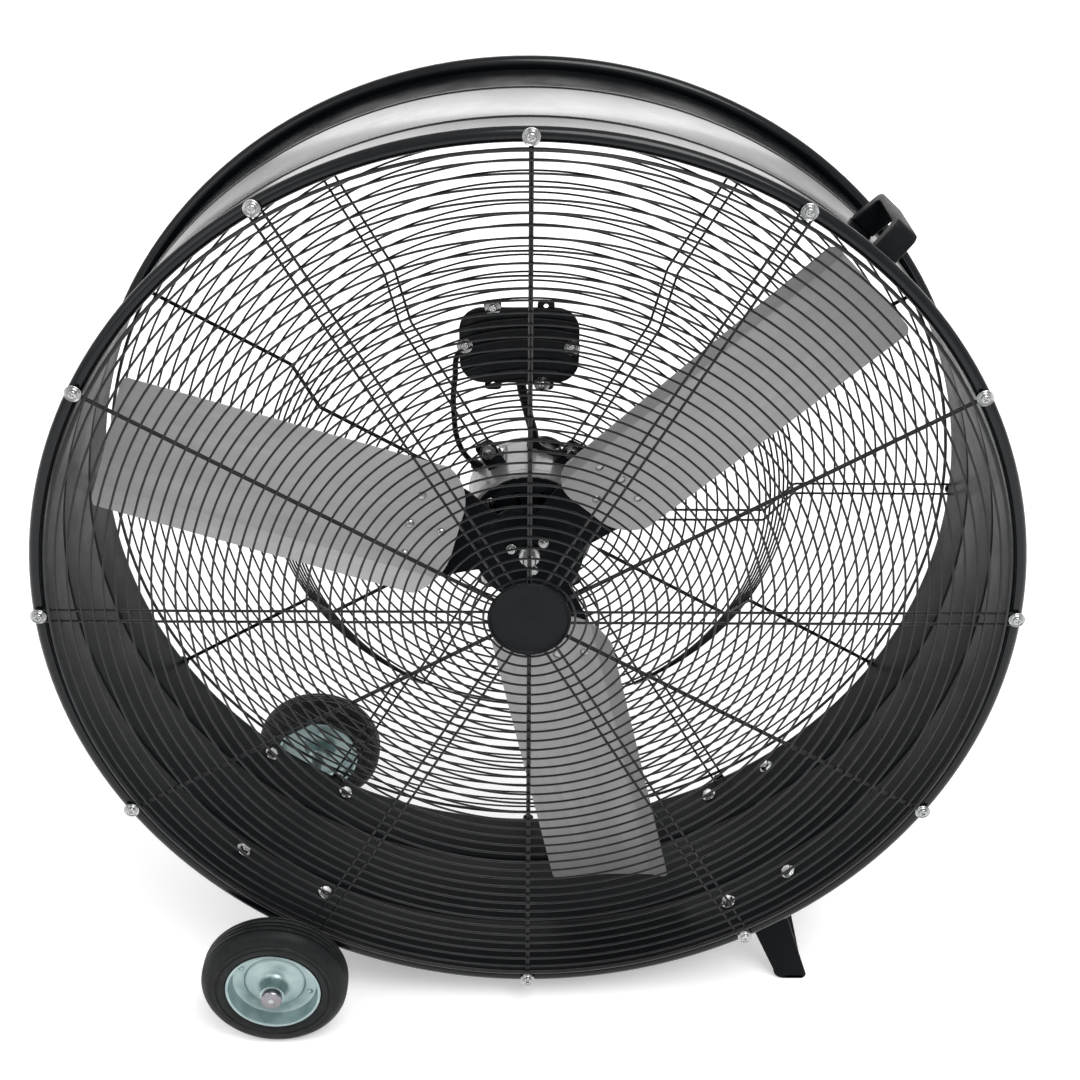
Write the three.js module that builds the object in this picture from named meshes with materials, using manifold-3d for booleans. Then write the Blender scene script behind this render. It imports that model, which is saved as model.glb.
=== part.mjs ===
// Drum fan on two wheels and a foot, about 1.1 m wide, in millimetres, +Z up.
// The air leaves through the front, which faces -Y. Every form is drawn about the drum's own
// axis (x = 0, z = 0, along Y) and the whole fan is set on the floor at the end.
import * as THREE from 'three';
import { mergeVertices } from 'three/addons/utils/BufferGeometryUtils.js';
import Module from 'manifold-3d';

const wasm = await Module();
wasm.setup();

// ---- driving dimensions -------------------------------------------------------------------
const BORE_RADIUS = 533.5;                 // inside of the drum wall
const DRUM_DEPTH = 303;                    // over both rolled rims
const SHEET = 2;                           // drum wall
const RIM_TUBE = 8;                        // radius of the rolled rim
const CLEARANCE = 0.3;                     // between pieces that seat on each other
const WIRE = 2.5;                          // guard wire, thick
const BLADE_COUNT = 3;
const WHEEL_RADIUS = 89;
const FLOOR_GAP = 36.5;                    // under the drum's rims

// ---- drum ---------------------------------------------------------------------------------
const DRUM_SEGMENTS = 48;
const RIM_CENTRE = BORE_RADIUS + RIM_TUBE;
const WALL_OUTER = BORE_RADIUS + SHEET;
const FRONT_RIM_Y = 12;
const REAR_RIM_Y = FRONT_RIM_Y + DRUM_DEPTH - 2 * RIM_TUBE;
const RIM_STEPS = 6;
const BEAD_HEIGHT = 3;
const BEAD_HALF = 7;
const BEAD_INSET = 85;                     // from the rim's middle to the bead's
const FLOOR_DROP = RIM_CENTRE + RIM_TUBE + FLOOR_GAP;
const LEG_SETBACK = 1;                     // rear bracket and leg stand this far off the rim
const LEG_REAR_Y = REAR_RIM_Y - RIM_TUBE - LEG_SETBACK;

// ---- guards -------------------------------------------------------------------------------
const SPOKE_TURN = 30;                     // degrees from one spoke place to the next
const SPOKE_PLACES = 12;
const PAIR_HALF = 7;                       // half the way between a pair's two wires
const SPOKE_FOOT = 30;                     // inner end of the front spokes, under the disc
const EYE_OUTER = 6.2;
const EYE_BORE = 3.6;
const EYE_STEPS = 3;
const RING_SEGMENTS = 30;
const RING_SIDES = 3;
const RING_TURN = 6;                       // degrees, keeps the rings' corners off the spokes
const RING_WIRE = 1.35;                    // radius of a ring's wire
const OUTER_RING_GAP = 4.5;                // from the bore to the thick ring's middle
const OUTER_RING = BORE_RADIUS - OUTER_RING_GAP;
const OUTER_RING_WIRE = 2;
const RING_FIRST = 64;
const RING_STEP = 93;
const RING_COUNT = 5;
const WELD_DEPTH = 0.5;                    // how far the crossing wires run into each other
const RING_LIFT = WIRE / 2 + RING_WIRE - WELD_DEPTH;
const SPOKE_FRONT_Y = FRONT_RIM_Y - RIM_TUBE - CLEARANCE - WIRE / 2;
const SPOKE_REAR_Y = REAR_RIM_Y + RIM_TUBE + CLEARANCE + WIRE / 2;
const STEP_OUTER = 338;                    // where the rear guard turns inward
const STEP_INNER = 290;
const STEP_Y = 238;                        // its inner part stands this far forward
const REAR_HOLE = 103;                     // ring round the motor
const SPOKE_OVERHANG = 4;                  // a spoke's end or bend past the ring nearest it
const DISC_RADIUS = 46.5;
const DISC_HEIGHT = 5;
const DISC_ROLL = 2.6;
const DISC_SEGMENTS = 24;

// ---- motor and its mounts -----------------------------------------------------------------
const MOTOR_RADIUS = 77.5;
const MOTOR_FRONT = 168;
const MOTOR_SHOULDER = 194;
const MOTOR_TAIL = 298;
const MOTOR_REAR = 324;
const SHELL_STEP = 3;                      // bells stand in from the rolled shell
const SHELL_ROLL = 2;
const MOTOR_SEGMENTS = 24;
const BELL_RADIUS = MOTOR_RADIUS - SHELL_STEP;
const BELL_STEPS = 3;
const BELL_ROOT = 8;                       // the dome starts this far outside the bearing's boss
const BEARING_RADIUS = 27;
const BEARING_HEIGHT = 7;
const BEARING_DRAFT = 2;
const SHAFT_RADIUS = 8;
const SHAFT_SEGMENTS = 12;
const SHAFT_CHAMFER = 1.5;
const COLLAR_RADIUS = 13.5;
const COLLAR_HEIGHT = 9;
const COLLAR_EDGE = 1.5;
const SHAFT_TIP = 121;
const SHAFT_SEAT = 14;                     // how deep the shaft runs in the front bell
const MOUNT_WIDTH = 24;
const MOUNT_SHEET = 3;
const MOUNT_LENGTH = 44;
const MOUNT_REACH = 116;
const MOUNT_CLOCKS = [30, 150, 210, 330];

// ---- hub and blades -----------------------------------------------------------------------
const BLADE_CLOCK = 47.5;                  // first blade, clockwise from the top
const BLADE_ROOT = 89;
const TIP_GAP = 29.5;
const BLADE_TIP = BORE_RADIUS - TIP_GAP;
const BLADE_WIDTH = 156;
const BLADE_SHEET = 1.8;
const BLADE_Y = 135;
const BLADE_CAMBER = 9;
const BLADE_PITCH_ROOT = 19;
const BLADE_PITCH_TIP = 12.5;
const BLADE_SPANS = 4;                     // along the parallel part
const BLADE_CHORDS = 5;
const ROOT_ROUND = 52;                     // length of the rounded root
const ROOT_STATIONS = [0, 0.3, 1];         // where it is drawn, as shares of that length
const ROOT_LEAST = 0.3;                    // half width at the root's end, as a share
const TIP_ROUND = 24;
const TIP_STATION = 0.3;                   // share of the tip's rounding left at its last station
const TIP_CUT = 0.16;                      // share of the half width that the tip loses
const SPIDER_SHEET = 2.6;
const SPIDER_RADIUS = 64;
const SPIDER_REACH = 163;
const SPIDER_WIDTH = 104;
const SPIDER_STATIONS = 6;
const SPIDER_CHORDS = 4;
const ARM_LAP = 24;                        // an arm starts this far inside the disc's edge
const ARM_ROOT_HALF = 34;
const ARM_FLARE = 60;                      // length over which it widens
const ARM_TIP_ROUND = 20;
const ARM_TIP_CUT = 0.2;                   // share of the half width that its tip loses
const BOSS_RADIUS = 34;
const BOSS_NECK = 20;
const BOSS_DEPTH = 22;
const HUB_DROP = 5;                        // the hub's middle stands behind the arms' line
const ARM_SEAT = 0.5;                      // between a blade and its arm
const ARM_BEHIND = BLADE_SHEET / 2 + ARM_SEAT + SPIDER_SHEET / 2;
const HUB_FRONT = BLADE_Y + ARM_BEHIND + HUB_DROP - SPIDER_SHEET / 2;

// ---- control box and leads ----------------------------------------------------------------
const BOX_X = -13;
const BOX_Z = 224;
const PLATE_WIDTH = 141;
const PLATE_HEIGHT = 95;
const PLATE_SHEET = 3;
const PLATE_ROUND = 28;
const TAB_WIDTH = 20;
const TAB_REACH = 9;
const TAB_OFFSET = 31;
const TAB_HOLE = 3;
const TAB_ROUND = 5;
const TAB_CURVES = 2;                      // flats to a quarter of a tab's corner
const BOX_CURVES = 3;                      // and of the box's other curves
const OVERCUT = 1;                         // a hole's cutter runs this far past both faces
const CASE_WIDTH = 112;
const CASE_HEIGHT = 54;
const CASE_DROP = 9;                       // the case hangs low behind the plate
const CASE_Z = BOX_Z - CASE_DROP;
const CASE_DEPTH = 56;
const CASE_ROUND = 16;
const LID_SHEET = 5;
const LID_LIP = 2;
const KNOB_RADIUS = 19;
const KNOB_HEIGHT = 20;
const KNOB_OFFSET = [22, 3];                // from the case's middle, right and up
const KNOB_X = BOX_X + KNOB_OFFSET[0];
const KNOB_Z = CASE_Z + KNOB_OFFSET[1];
const KNOB_SEGMENTS = 16;
const SKIRT_DRAFT = 1.5;
const SKIRT_SHOULDER = 5;
const GRIP_WIDTH = 9;
const GRIP_INSET = 3;                      // shorter than the skirt by this
const GRIP_ROUND = 4;
const GLAND_RADIUS = 11;
const GLAND_HEIGHT = 17;
const GLAND_NUT = 5;
const GLAND_STEP = 1;
const GLAND_SHOULDER = 2;
const GLAND_NECK = 3;                      // the neck stands in from the nut
const GLAND_SEGMENTS = 12;
const GLAND_OFFSET = 32;
const GLAND_X = BOX_X + GLAND_OFFSET;
const PLATE_FRONT = STEP_Y + RING_LIFT + RING_WIRE + CLEARANCE;
const CASE_BACK = PLATE_FRONT + PLATE_SHEET + CASE_DEPTH;
const CASE_FOOT = CASE_Z - CASE_HEIGHT / 2;
const CASE_SIDE = BOX_X - CASE_WIDTH / 2;
const CONDUIT_RADIUS = 6;
const CONDUIT_X = 5;
const CONDUIT_BEND = [-2, 120];            // (x, z) that the conduit bends through
const CONDUIT_STEPS = 8;
const CONDUIT_CURVES = 4;
const LEAD_RADIUS = 3.5;
const LEAD_CLOCK = -52.8;
const LEAD_BENDS = [[-91, 166], [-93, 123], [-86, 76]];
const LEAD_STEPS = 14;
const LEAD_CURVES = 3;
const LEAD_Y = PLATE_FRONT + PLATE_SHEET + CASE_DEPTH / 2;
const LEAD_DROP = 9;                       // below the case's middle
const LEAD_Z = CASE_Z - LEAD_DROP;
const LEAD_END = 0.6;                      // a lead stops this far from what it enters
const LEAD_LEAVE = 12;                     // and runs straight out of it for this far

// ---- handle -------------------------------------------------------------------------------
const HANDLE_CLOCK = 42.1;
const HANDLE_Y = 118;
const HANDLE_LENGTH = 96;                  // over the legs, at the top
const HANDLE_SPREAD = 9;                   // each foot stands this much further out
const HANDLE_HEIGHT = 42;
const HANDLE_WIDTH = 26;
const HANDLE_LEG = 14;
const HANDLE_WEB = 8;
const HANDLE_ROUND = 7;
const HANDLE_BEVEL = 2;

// ---- wheels, axle and brackets ------------------------------------------------------------
const AXLE_X = -309;
const AXLE_Z = WHEEL_RADIUS - FLOOR_DROP;
const AXLE_RADIUS = 8;
const AXLE_SEGMENTS = 12;
const AXLE_CHAMFER = 1;
const AXLE_OVERHANG = 3;                   // the axle shows this far past a hub's tube
const WHEEL_FRONT_Y = -43;
const WHEEL_REAR_Y = 419;
const TYRE_WIDTH = 45;
const TYRE_BORE = 58;
const TYRE_BEAD = 4;
const TYRE_SHOULDER = 9;
const WHEEL_SEGMENTS = 20;
const HUB_TUBE = 15;
const HUB_HALF = 29;
const HUB_ROOT_HALF = 5;                   // half thickness round the tube
const HUB_STEP = [30, 35];                 // radii between which the web steps
const HUB_WEB_HALF = 1.5;
const HUB_FLANGE = 6;                      // the rim turns outward this far inside its edge
const HUB_LIP = 2.5;
const RUNNING_FIT = 0.4;
const AXLE_FRONT = WHEEL_FRONT_Y - HUB_HALF - AXLE_OVERHANG;
const AXLE_BACK = WHEEL_REAR_Y + HUB_HALF + AXLE_OVERHANG;
const CAP_HEIGHT = 5;
const CAP_RADIUS = 13;
const BRACKET_SHEET = 4;
const BRACKET_FLANGE = 28;
const BRACKET_CLOCKS = [203.5, 227.5];
const BRACKET_EYE = 19;
const BRACKET_CURVES = 4;
const BRACKET_FRONT_Y = 56;
const BRACKET_REAR_Y = LEG_REAR_Y;

// ---- foot ---------------------------------------------------------------------------------
const FOOT_X = 341.5;
const FOOT_WIDTH = 43;
const FOOT_TOP_WIDTH = 52;
const FOOT_SHEET = 5;
const FOOT_CORNER = 7;
const FOOT_HEEL = 15;                      // the corner on the drum's side
const FOOT_CLOCKS = [139, 154.5];
const FOOT_FRONT_Y = 47;
const FOOT_REAR_Y = LEG_REAR_Y;
const FOOT_FLANGE = 30;
const FOOT_CURVES = 3;

const FULL_TURN = 360;                     // degrees
const TAU = Math.PI * 2;
const rad = THREE.MathUtils.degToRad;
const at = (radius, clock) => [radius * Math.sin(rad(clock)), radius * Math.cos(rad(clock))];

// ---- finishes -----------------------------------------------------------------------------
const finish = (color, roughness, metalness) => () =>
  new THREE.MeshStandardMaterial({ color, roughness, metalness });
const blackPaint = finish(0x0c0c0e, 0.22, 0.1);
const blackWire = finish(0x0d0d0f, 0.38, 0.2);
const blackMoulding = finish(0x111113, 0.55, 0);
const bladeGrey = finish(0x6f7070, 0.42, 0.7);
const motorGrey = finish(0xb7b4b2, 0.45, 0.3);
const zinc = finish(0xa9b8b8, 0.35, 0.85);
const tyreRubber = finish(0x1d1e1f, 0.85, 0);
const steel = finish(0xa2a4a6, 0.3, 0.9);
const leadJacket = finish(0x0b0b0c, 0.6, 0);

// ---- closed bodies ------------------------------------------------------------------------
/** Welds a geometry into one closed skin whose faces look outward. */
function weld(geometry) {
  geometry.deleteAttribute('normal');
  geometry.deleteAttribute('uv');
  const welded = mergeVertices(geometry, 1e-4);
  const points = welded.getAttribute('position');
  const index = welded.getIndex().array;
  const kept = [];
  let volume = 0;
  const corners = [new THREE.Vector3(), new THREE.Vector3(), new THREE.Vector3()];
  for (let i = 0; i < index.length; i += 3) {
    const [a, b, c] = [index[i], index[i + 1], index[i + 2]];
    if (a === b || b === c || a === c) continue;
    kept.push(a, b, c);
    corners.forEach((corner, k) => corner.fromBufferAttribute(points, [a, b, c][k]));
    volume += corners[0].dot(corners[1].clone().cross(corners[2]));
  }
  if (volume < 0) {
    for (let i = 0; i < kept.length; i += 3) {
      [kept[i + 1], kept[i + 2]] = [kept[i + 2], kept[i + 1]];
    }
  }
  welded.setIndex(kept);
  return welded;
}

/** A solid for joining and cutting. */
function solid(geometry) {
  const welded = weld(geometry);
  return new wasm.Manifold(new wasm.Mesh({
    numProp: 3,
    vertProperties: new Float32Array(welded.getAttribute('position').array),
    triVerts: new Uint32Array(welded.getIndex().array),
  }));
}

/** The geometry of a joined or cut solid. */
function skin(body) {
  const mesh = body.getMesh();
  const geometry = new THREE.BufferGeometry();
  geometry.setAttribute('position', new THREE.Float32BufferAttribute(mesh.vertProperties, 3));
  geometry.setIndex(Array.from(mesh.triVerts));
  return geometry;
}

const joined = (geometries) => geometries.map(solid).reduce((all, next) => all.add(next));

// ---- ways of making a form ----------------------------------------------------------------
/** Turns a profile of [radius, y] points about the line through (x, z) along Y. */
function turned(profile, segments, x = 0, z = 0) {
  const points = profile.map(([radius, y]) => new THREE.Vector2(radius, y));
  return new THREE.LatheGeometry(points, segments).translate(x, 0, z);
}

const closed = (profile) => [...profile, profile[0]];

/** Extrudes a shape drawn as seen from the front (x right, z up) from y = near to y = far. */
function plate(shape, near, far, curveSegments = 6) {
  const body = new THREE.ExtrudeGeometry(shape, {
    depth: far - near, bevelEnabled: false, curveSegments,
  });
  return body.rotateX(Math.PI / 2).translate(0, far, 0);
}

/** A polyline of [u, v] points given a thickness, as a closed shape. */
function band(line, thickness) {
  const points = line.map(([u, v]) => new THREE.Vector2(u, v));
  const side = (sign) => points.map((point, i) => {
    const before = points[Math.max(i - 1, 0)];
    const after = points[Math.min(i + 1, points.length - 1)];
    const first = i > 0 ? point.clone().sub(before).normalize() : null;
    const second = i < points.length - 1 ? after.clone().sub(point).normalize() : null;
    const way = (first && second) ? first.clone().add(second).normalize() : (first ?? second);
    const normal = new THREE.Vector2(-way.y, way.x);
    const square = first && second ? new THREE.Vector2(-first.y, first.x).dot(normal) : 1;
    return point.clone().addScaledVector(normal, (sign * thickness) / 2 / square);
  });
  return new THREE.Shape([...side(1), ...side(-1).reverse()]);
}

/** Extrudes a shape drawn as (y, radius), so that it stands across the top of the drum. */
function upright(shape, width, middle = 0, bevel = 0) {
  const body = new THREE.ExtrudeGeometry(shape, {
    depth: width - 2 * bevel, bevelEnabled: bevel > 0, bevelSize: bevel, bevelThickness: bevel,
    bevelOffset: -bevel, bevelSegments: 1, curveSegments: 4,
  });
  const stand = new THREE.Matrix4().makeBasis(
    new THREE.Vector3(0, 1, 0), new THREE.Vector3(0, 0, 1), new THREE.Vector3(1, 0, 0));
  return body.applyMatrix4(stand).translate(middle + bevel - width / 2, 0, 0);
}

/** Turns a form drawn at the top of the drum (radius along +Z) to its place on the clock. */
const toClock = (geometry, clock) => geometry.rotateY(rad(clock));

/** A rectangle with round corners about (x, z). */
function roundedRectangle(x, z, width, height, round) {
  const shape = new THREE.Shape();
  const [w, h] = [width / 2 - round, height / 2 - round];
  shape.absarc(x + w, z + h, round, 0, TAU / 4);
  shape.absarc(x - w, z + h, round, TAU / 4, TAU / 2);
  shape.absarc(x - w, z - h, round, TAU / 2, (TAU * 3) / 4);
  shape.absarc(x + w, z - h, round, (TAU * 3) / 4, TAU);
  return shape;
}

/** A hole in a shape whose flats clear a pin of the radius. */
function pierce(shape, x, z, radius, sides) {
  const reach = radius / Math.cos(TAU / 2 / sides);
  const corners = Array.from({ length: sides }, (_, i) => new THREE.Vector2(
    x + reach * Math.cos((-TAU * i) / sides), z + reach * Math.sin((-TAU * i) / sides)));
  shape.holes.push(new THREE.Path(corners));
  return shape;
}

/** A strip along the outside of the drum wall between two clock angles. */
function wallStrip(clocks, sheet) {
  const inner = WALL_OUTER + CLEARANCE;
  const shape = new THREE.Shape();
  const [start, end] = clocks.map((clock) => TAU / 4 - rad(clock));
  shape.absarc(0, 0, inner, start, end, true);
  shape.absarc(0, 0, inner + sheet, end, start, false);
  return shape;
}

// ---- drum ---------------------------------------------------------------------------------
/** The points of one rolled rim, from the bore round the outside to the wall's outer face. */
function rimRoll(y, side) {
  const sweep = TAU / 2 + Math.acos((WALL_OUTER - RIM_CENTRE) / RIM_TUBE);
  const points = [];
  for (let i = 0; i <= RIM_STEPS; i += 1) {
    const angle = TAU / 2 - (sweep * i) / RIM_STEPS;
    points.push([RIM_CENTRE + RIM_TUBE * Math.cos(angle), y + side * RIM_TUBE * Math.sin(angle)]);
  }
  return points;
}

/** One stiffening bead pressed outward, met along +Y. */
const bead = (radius, y) => [
  [radius, y - BEAD_HALF],
  [radius + BEAD_HEIGHT, y],
  [radius, y + BEAD_HALF],
];

function drumShell() {
  const beads = [FRONT_RIM_Y + BEAD_INSET, REAR_RIM_Y - BEAD_INSET];
  const inside = beads.flatMap((y) => bead(BORE_RADIUS, y));
  const outside = beads.flatMap((y) => bead(WALL_OUTER, y));
  return weld(turned(closed([
    ...inside,
    ...rimRoll(REAR_RIM_Y, 1),
    ...outside.reverse(),
    ...rimRoll(FRONT_RIM_Y, -1).reverse(),
  ]), DRUM_SEGMENTS));
}

// ---- guards -------------------------------------------------------------------------------
/** A guard ring: a wire of few sides about the drum's axis. */
function ring(radius, y, wire = RING_WIRE) {
  const section = Array.from({ length: RING_SIDES }, (_, i) => [
    radius + wire * Math.cos((TAU * i) / RING_SIDES),
    y + wire * Math.sin((TAU * i) / RING_SIDES),
  ]);
  return turned(closed(section), RING_SEGMENTS).rotateY(rad(RING_TURN));
}

/** Rings a step apart, from one radius to half a step short of another. */
function ringsBetween(from, to, y) {
  const rings = [];
  for (let radius = from; radius < to - RING_STEP / 2; radius += RING_STEP) {
    rings.push(ring(radius, y));
  }
  return rings;
}

/** Spokes at one place on the clock, with the end that goes round the rim screw. */
function spokesAt(line, clock, paired, y) {
  const bars = [];
  const offsets = paired ? [-PAIR_HALF, PAIR_HALF] : [0];
  const width = paired ? WIRE : 2 * WIRE;
  const reach = RIM_CENTRE - (paired ? 0 : (EYE_OUTER + EYE_BORE) / 2);
  offsets.forEach((offset) => bars.push(spokeBar([[reach, y], ...line], width, offset)));
  const end = new THREE.Shape();
  const [outer, inner] = paired
    ? [PAIR_HALF + WIRE / 2, PAIR_HALF - WIRE / 2] : [EYE_OUTER, EYE_BORE];
  if (paired) {
    end.absarc(0, RIM_CENTRE - WELD_DEPTH, outer, 0, TAU / 2);
    end.absarc(0, RIM_CENTRE - WELD_DEPTH, inner, TAU / 2, 0, true);
  } else {
    end.absarc(0, RIM_CENTRE, outer, 0, TAU);
    pierce(end, 0, RIM_CENTRE, inner, 2 * EYE_STEPS);
  }
  bars.push(plate(end, y - WIRE / 2, y + WIRE / 2, EYE_STEPS));
  return bars.map((bar) => toClock(bar, clock));
}

/** One straight or stepped bar along a radius, drawn at the top of the drum. */
const spokeBar = (line, width, offset) =>
  upright(band(line.map(([radius, y]) => [y, radius]), WIRE), width, offset);

const isPaired = (place) => place % 2 === 1;

function guard(line, y, rings) {
  const bars = [];
  for (let place = 0; place < SPOKE_PLACES; place += 1) {
    bars.push(...spokesAt(line, place * SPOKE_TURN, isPaired(place), y));
  }
  return skin(joined([...rings, ...bars]));
}

function frontGuard() {
  const y = SPOKE_FRONT_Y - RING_LIFT;
  const rings = [ring(OUTER_RING, y, OUTER_RING_WIRE)];
  for (let i = 0; i < RING_COUNT; i += 1) {
    rings.push(ring(RING_FIRST + i * RING_STEP, y));
  }
  return guard([[SPOKE_FOOT, SPOKE_FRONT_Y]], SPOKE_FRONT_Y, rings);
}

function rearGuard() {
  const line = [
    [STEP_OUTER, SPOKE_REAR_Y],
    [STEP_INNER, STEP_Y],
    [REAR_HOLE - SPOKE_OVERHANG, STEP_Y],
  ];
  const outerY = SPOKE_REAR_Y + RING_LIFT;
  const innerY = STEP_Y + RING_LIFT;
  return guard(line, SPOKE_REAR_Y, [
    ring(OUTER_RING, outerY, OUTER_RING_WIRE),
    ...ringsBetween(STEP_OUTER + SPOKE_OVERHANG, OUTER_RING, outerY),
    ...ringsBetween(REAR_HOLE, STEP_INNER, innerY),
    ring(STEP_INNER, innerY),
  ]);
}

/** The bare disc that covers the inner ends of the front spokes, with its rolled edge. */
function guardDisc() {
  const back = SPOKE_FRONT_Y - WIRE / 2 - CLEARANCE;
  const face = back - DISC_HEIGHT + DISC_ROLL;
  return weld(turned([
    [0, back],
    [DISC_RADIUS - DISC_ROLL / 2, back],
    [DISC_RADIUS, back - DISC_ROLL],
    [DISC_RADIUS - DISC_ROLL / 2, back - DISC_HEIGHT],
    [DISC_RADIUS - 2 * DISC_ROLL, back - DISC_HEIGHT],
    [DISC_RADIUS - 3 * DISC_ROLL, face],
    [0, face],
  ], DISC_SEGMENTS));
}

// ---- motor --------------------------------------------------------------------------------
function motorShell() {
  return weld(turned([
    [0, MOTOR_SHOULDER],
    [MOTOR_RADIUS - SHELL_ROLL, MOTOR_SHOULDER],
    [MOTOR_RADIUS, MOTOR_SHOULDER + SHELL_ROLL],
    [MOTOR_RADIUS, MOTOR_TAIL - SHELL_ROLL],
    [MOTOR_RADIUS - SHELL_ROLL, MOTOR_TAIL],
    [0, MOTOR_TAIL],
  ], MOTOR_SEGMENTS));
}

/** The rounded end bell, from its seat on the shell out to the bearing's boss. */
function motorBell(seat, face, bore) {
  const way = Math.sign(face - seat);
  const root = BEARING_RADIUS + BELL_ROOT;
  const profile = [[bore ? SHAFT_RADIUS + CLEARANCE : 0, face - way * SHAFT_SEAT]];
  if (bore) profile.unshift([0, face - way * SHAFT_SEAT]);
  if (bore) profile.push([SHAFT_RADIUS + CLEARANCE, face]);
  if (!bore) profile[0] = [0, face];
  profile.push([BEARING_RADIUS - BEARING_DRAFT, face], [BEARING_RADIUS, face - way * BEARING_HEIGHT]);
  const depth = Math.abs(face - seat) - BEARING_HEIGHT;
  for (let i = 0; i <= BELL_STEPS; i += 1) {
    const angle = (TAU / 4) * (i / BELL_STEPS);
    profile.push([
      root + (BELL_RADIUS - root) * Math.sin(angle),
      seat + way * depth * Math.cos(angle),
    ]);
  }
  profile.push([0, seat]);
  return weld(turned(profile, MOTOR_SEGMENTS));
}

/** The strap that ties the motor's shell to one pair of the rear guard's spokes. */
function motorMount(clock) {
  const flangeY = STEP_Y - WIRE / 2 - CLEARANCE - MOUNT_SHEET / 2;
  const base = MOTOR_RADIUS + CLEARANCE + MOUNT_SHEET / 2;
  const shape = band([
    [flangeY, MOUNT_REACH],
    [flangeY, base],
    [flangeY + MOUNT_LENGTH, base],
  ], MOUNT_SHEET);
  return weld(toClock(upright(shape, MOUNT_WIDTH), clock));
}

function shaft() {
  return weld(turned([
    [0, SHAFT_TIP],
    [SHAFT_RADIUS - SHAFT_CHAMFER, SHAFT_TIP],
    [SHAFT_RADIUS, SHAFT_TIP + SHAFT_CHAMFER],
    [SHAFT_RADIUS, MOTOR_FRONT + SHAFT_SEAT - CLEARANCE],
    [0, MOTOR_FRONT + SHAFT_SEAT - CLEARANCE],
  ], SHAFT_SEGMENTS));
}

// ---- hub and blades -----------------------------------------------------------------------
const smooth = (t) => t * t * (3 - 2 * t);
const clamp01 = (t) => Math.min(Math.max(t, 0), 1);

/** The blade's pitch in radians at a radius; the hub's arms follow it past their flat root. */
const pitchAt = (radius) => rad(THREE.MathUtils.lerp(
  BLADE_PITCH_ROOT, BLADE_PITCH_TIP, clamp01((radius - BLADE_ROOT) / (BLADE_TIP - BLADE_ROOT))));

/** Half the blade's width at a radius: rounded root, long parallel part, rounded corners. */
function bladeHalf(radius) {
  const fromRoot = clamp01((radius - BLADE_ROOT) / ROOT_ROUND);
  const fromTip = clamp01((BLADE_TIP - radius) / TIP_ROUND);
  const root = Math.sqrt(1 - (1 - fromRoot) ** 2);
  const tip = 1 - TIP_CUT * (1 - Math.sqrt(1 - (1 - fromTip) ** 2));
  return (BLADE_WIDTH / 2) * Math.max(root, ROOT_LEAST) * tip;
}

/** Point of a pitched, cambered sheet: across from its middle line, lift along the axis. */
function sheetPoint(radius, across, lift, pitch, camber) {
  const bow = camber * (1 - (across / (BLADE_WIDTH / 2)) ** 2);
  return new THREE.Vector3(
    across * Math.cos(pitch),
    BLADE_Y + lift + across * Math.sin(pitch) + bow,
    radius,
  );
}

/** Skins a sheet between two faces over a grid of stations and chords. */
function sheetBody(stations, chords, thickness, pointAt) {
  const points = [];
  const cells = [];
  const columns = chords + 1;
  const rows = stations.length;
  [-thickness / 2, thickness / 2].forEach((lift) => stations.forEach((radius) => {
    for (let j = 0; j < columns; j += 1) points.push(pointAt(radius, (2 * j) / chords - 1, lift));
  }));
  const id = (face, i, j) => face * rows * columns + i * columns + j;
  const quad = (a, b, c, d) => cells.push(a, b, c, a, c, d);
  for (let i = 0; i < rows - 1; i += 1) {
    for (let j = 0; j < chords; j += 1) {
      quad(id(0, i, j), id(0, i, j + 1), id(0, i + 1, j + 1), id(0, i + 1, j));
      quad(id(1, i, j), id(1, i + 1, j), id(1, i + 1, j + 1), id(1, i, j + 1));
    }
    quad(id(0, i, 0), id(0, i + 1, 0), id(1, i + 1, 0), id(1, i, 0));
    quad(id(0, i, chords), id(1, i, chords), id(1, i + 1, chords), id(0, i + 1, chords));
  }
  for (let j = 0; j < chords; j += 1) {
    quad(id(0, 0, j), id(1, 0, j), id(1, 0, j + 1), id(0, 0, j + 1));
    const last = rows - 1;
    quad(id(0, last, j), id(0, last, j + 1), id(1, last, j + 1), id(1, last, j));
  }
  const geometry = new THREE.BufferGeometry().setFromPoints(points);
  geometry.setIndex(cells);
  return geometry;
}

function blade(clock) {
  const stations = ROOT_STATIONS.map((t) => BLADE_ROOT + t * ROOT_ROUND);
  const [from, to] = [BLADE_ROOT + ROOT_ROUND, BLADE_TIP - TIP_ROUND];
  for (let i = 1; i <= BLADE_SPANS; i += 1) {
    stations.push(from + ((to - from) * i) / BLADE_SPANS);
  }
  stations.push(BLADE_TIP - TIP_ROUND * TIP_STATION, BLADE_TIP);
  return weld(toClock(sheetBody(stations, BLADE_CHORDS, BLADE_SHEET, (radius, u, lift) =>
    sheetPoint(radius, u * bladeHalf(radius), lift, pitchAt(radius), BLADE_CAMBER)), clock));
}

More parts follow.
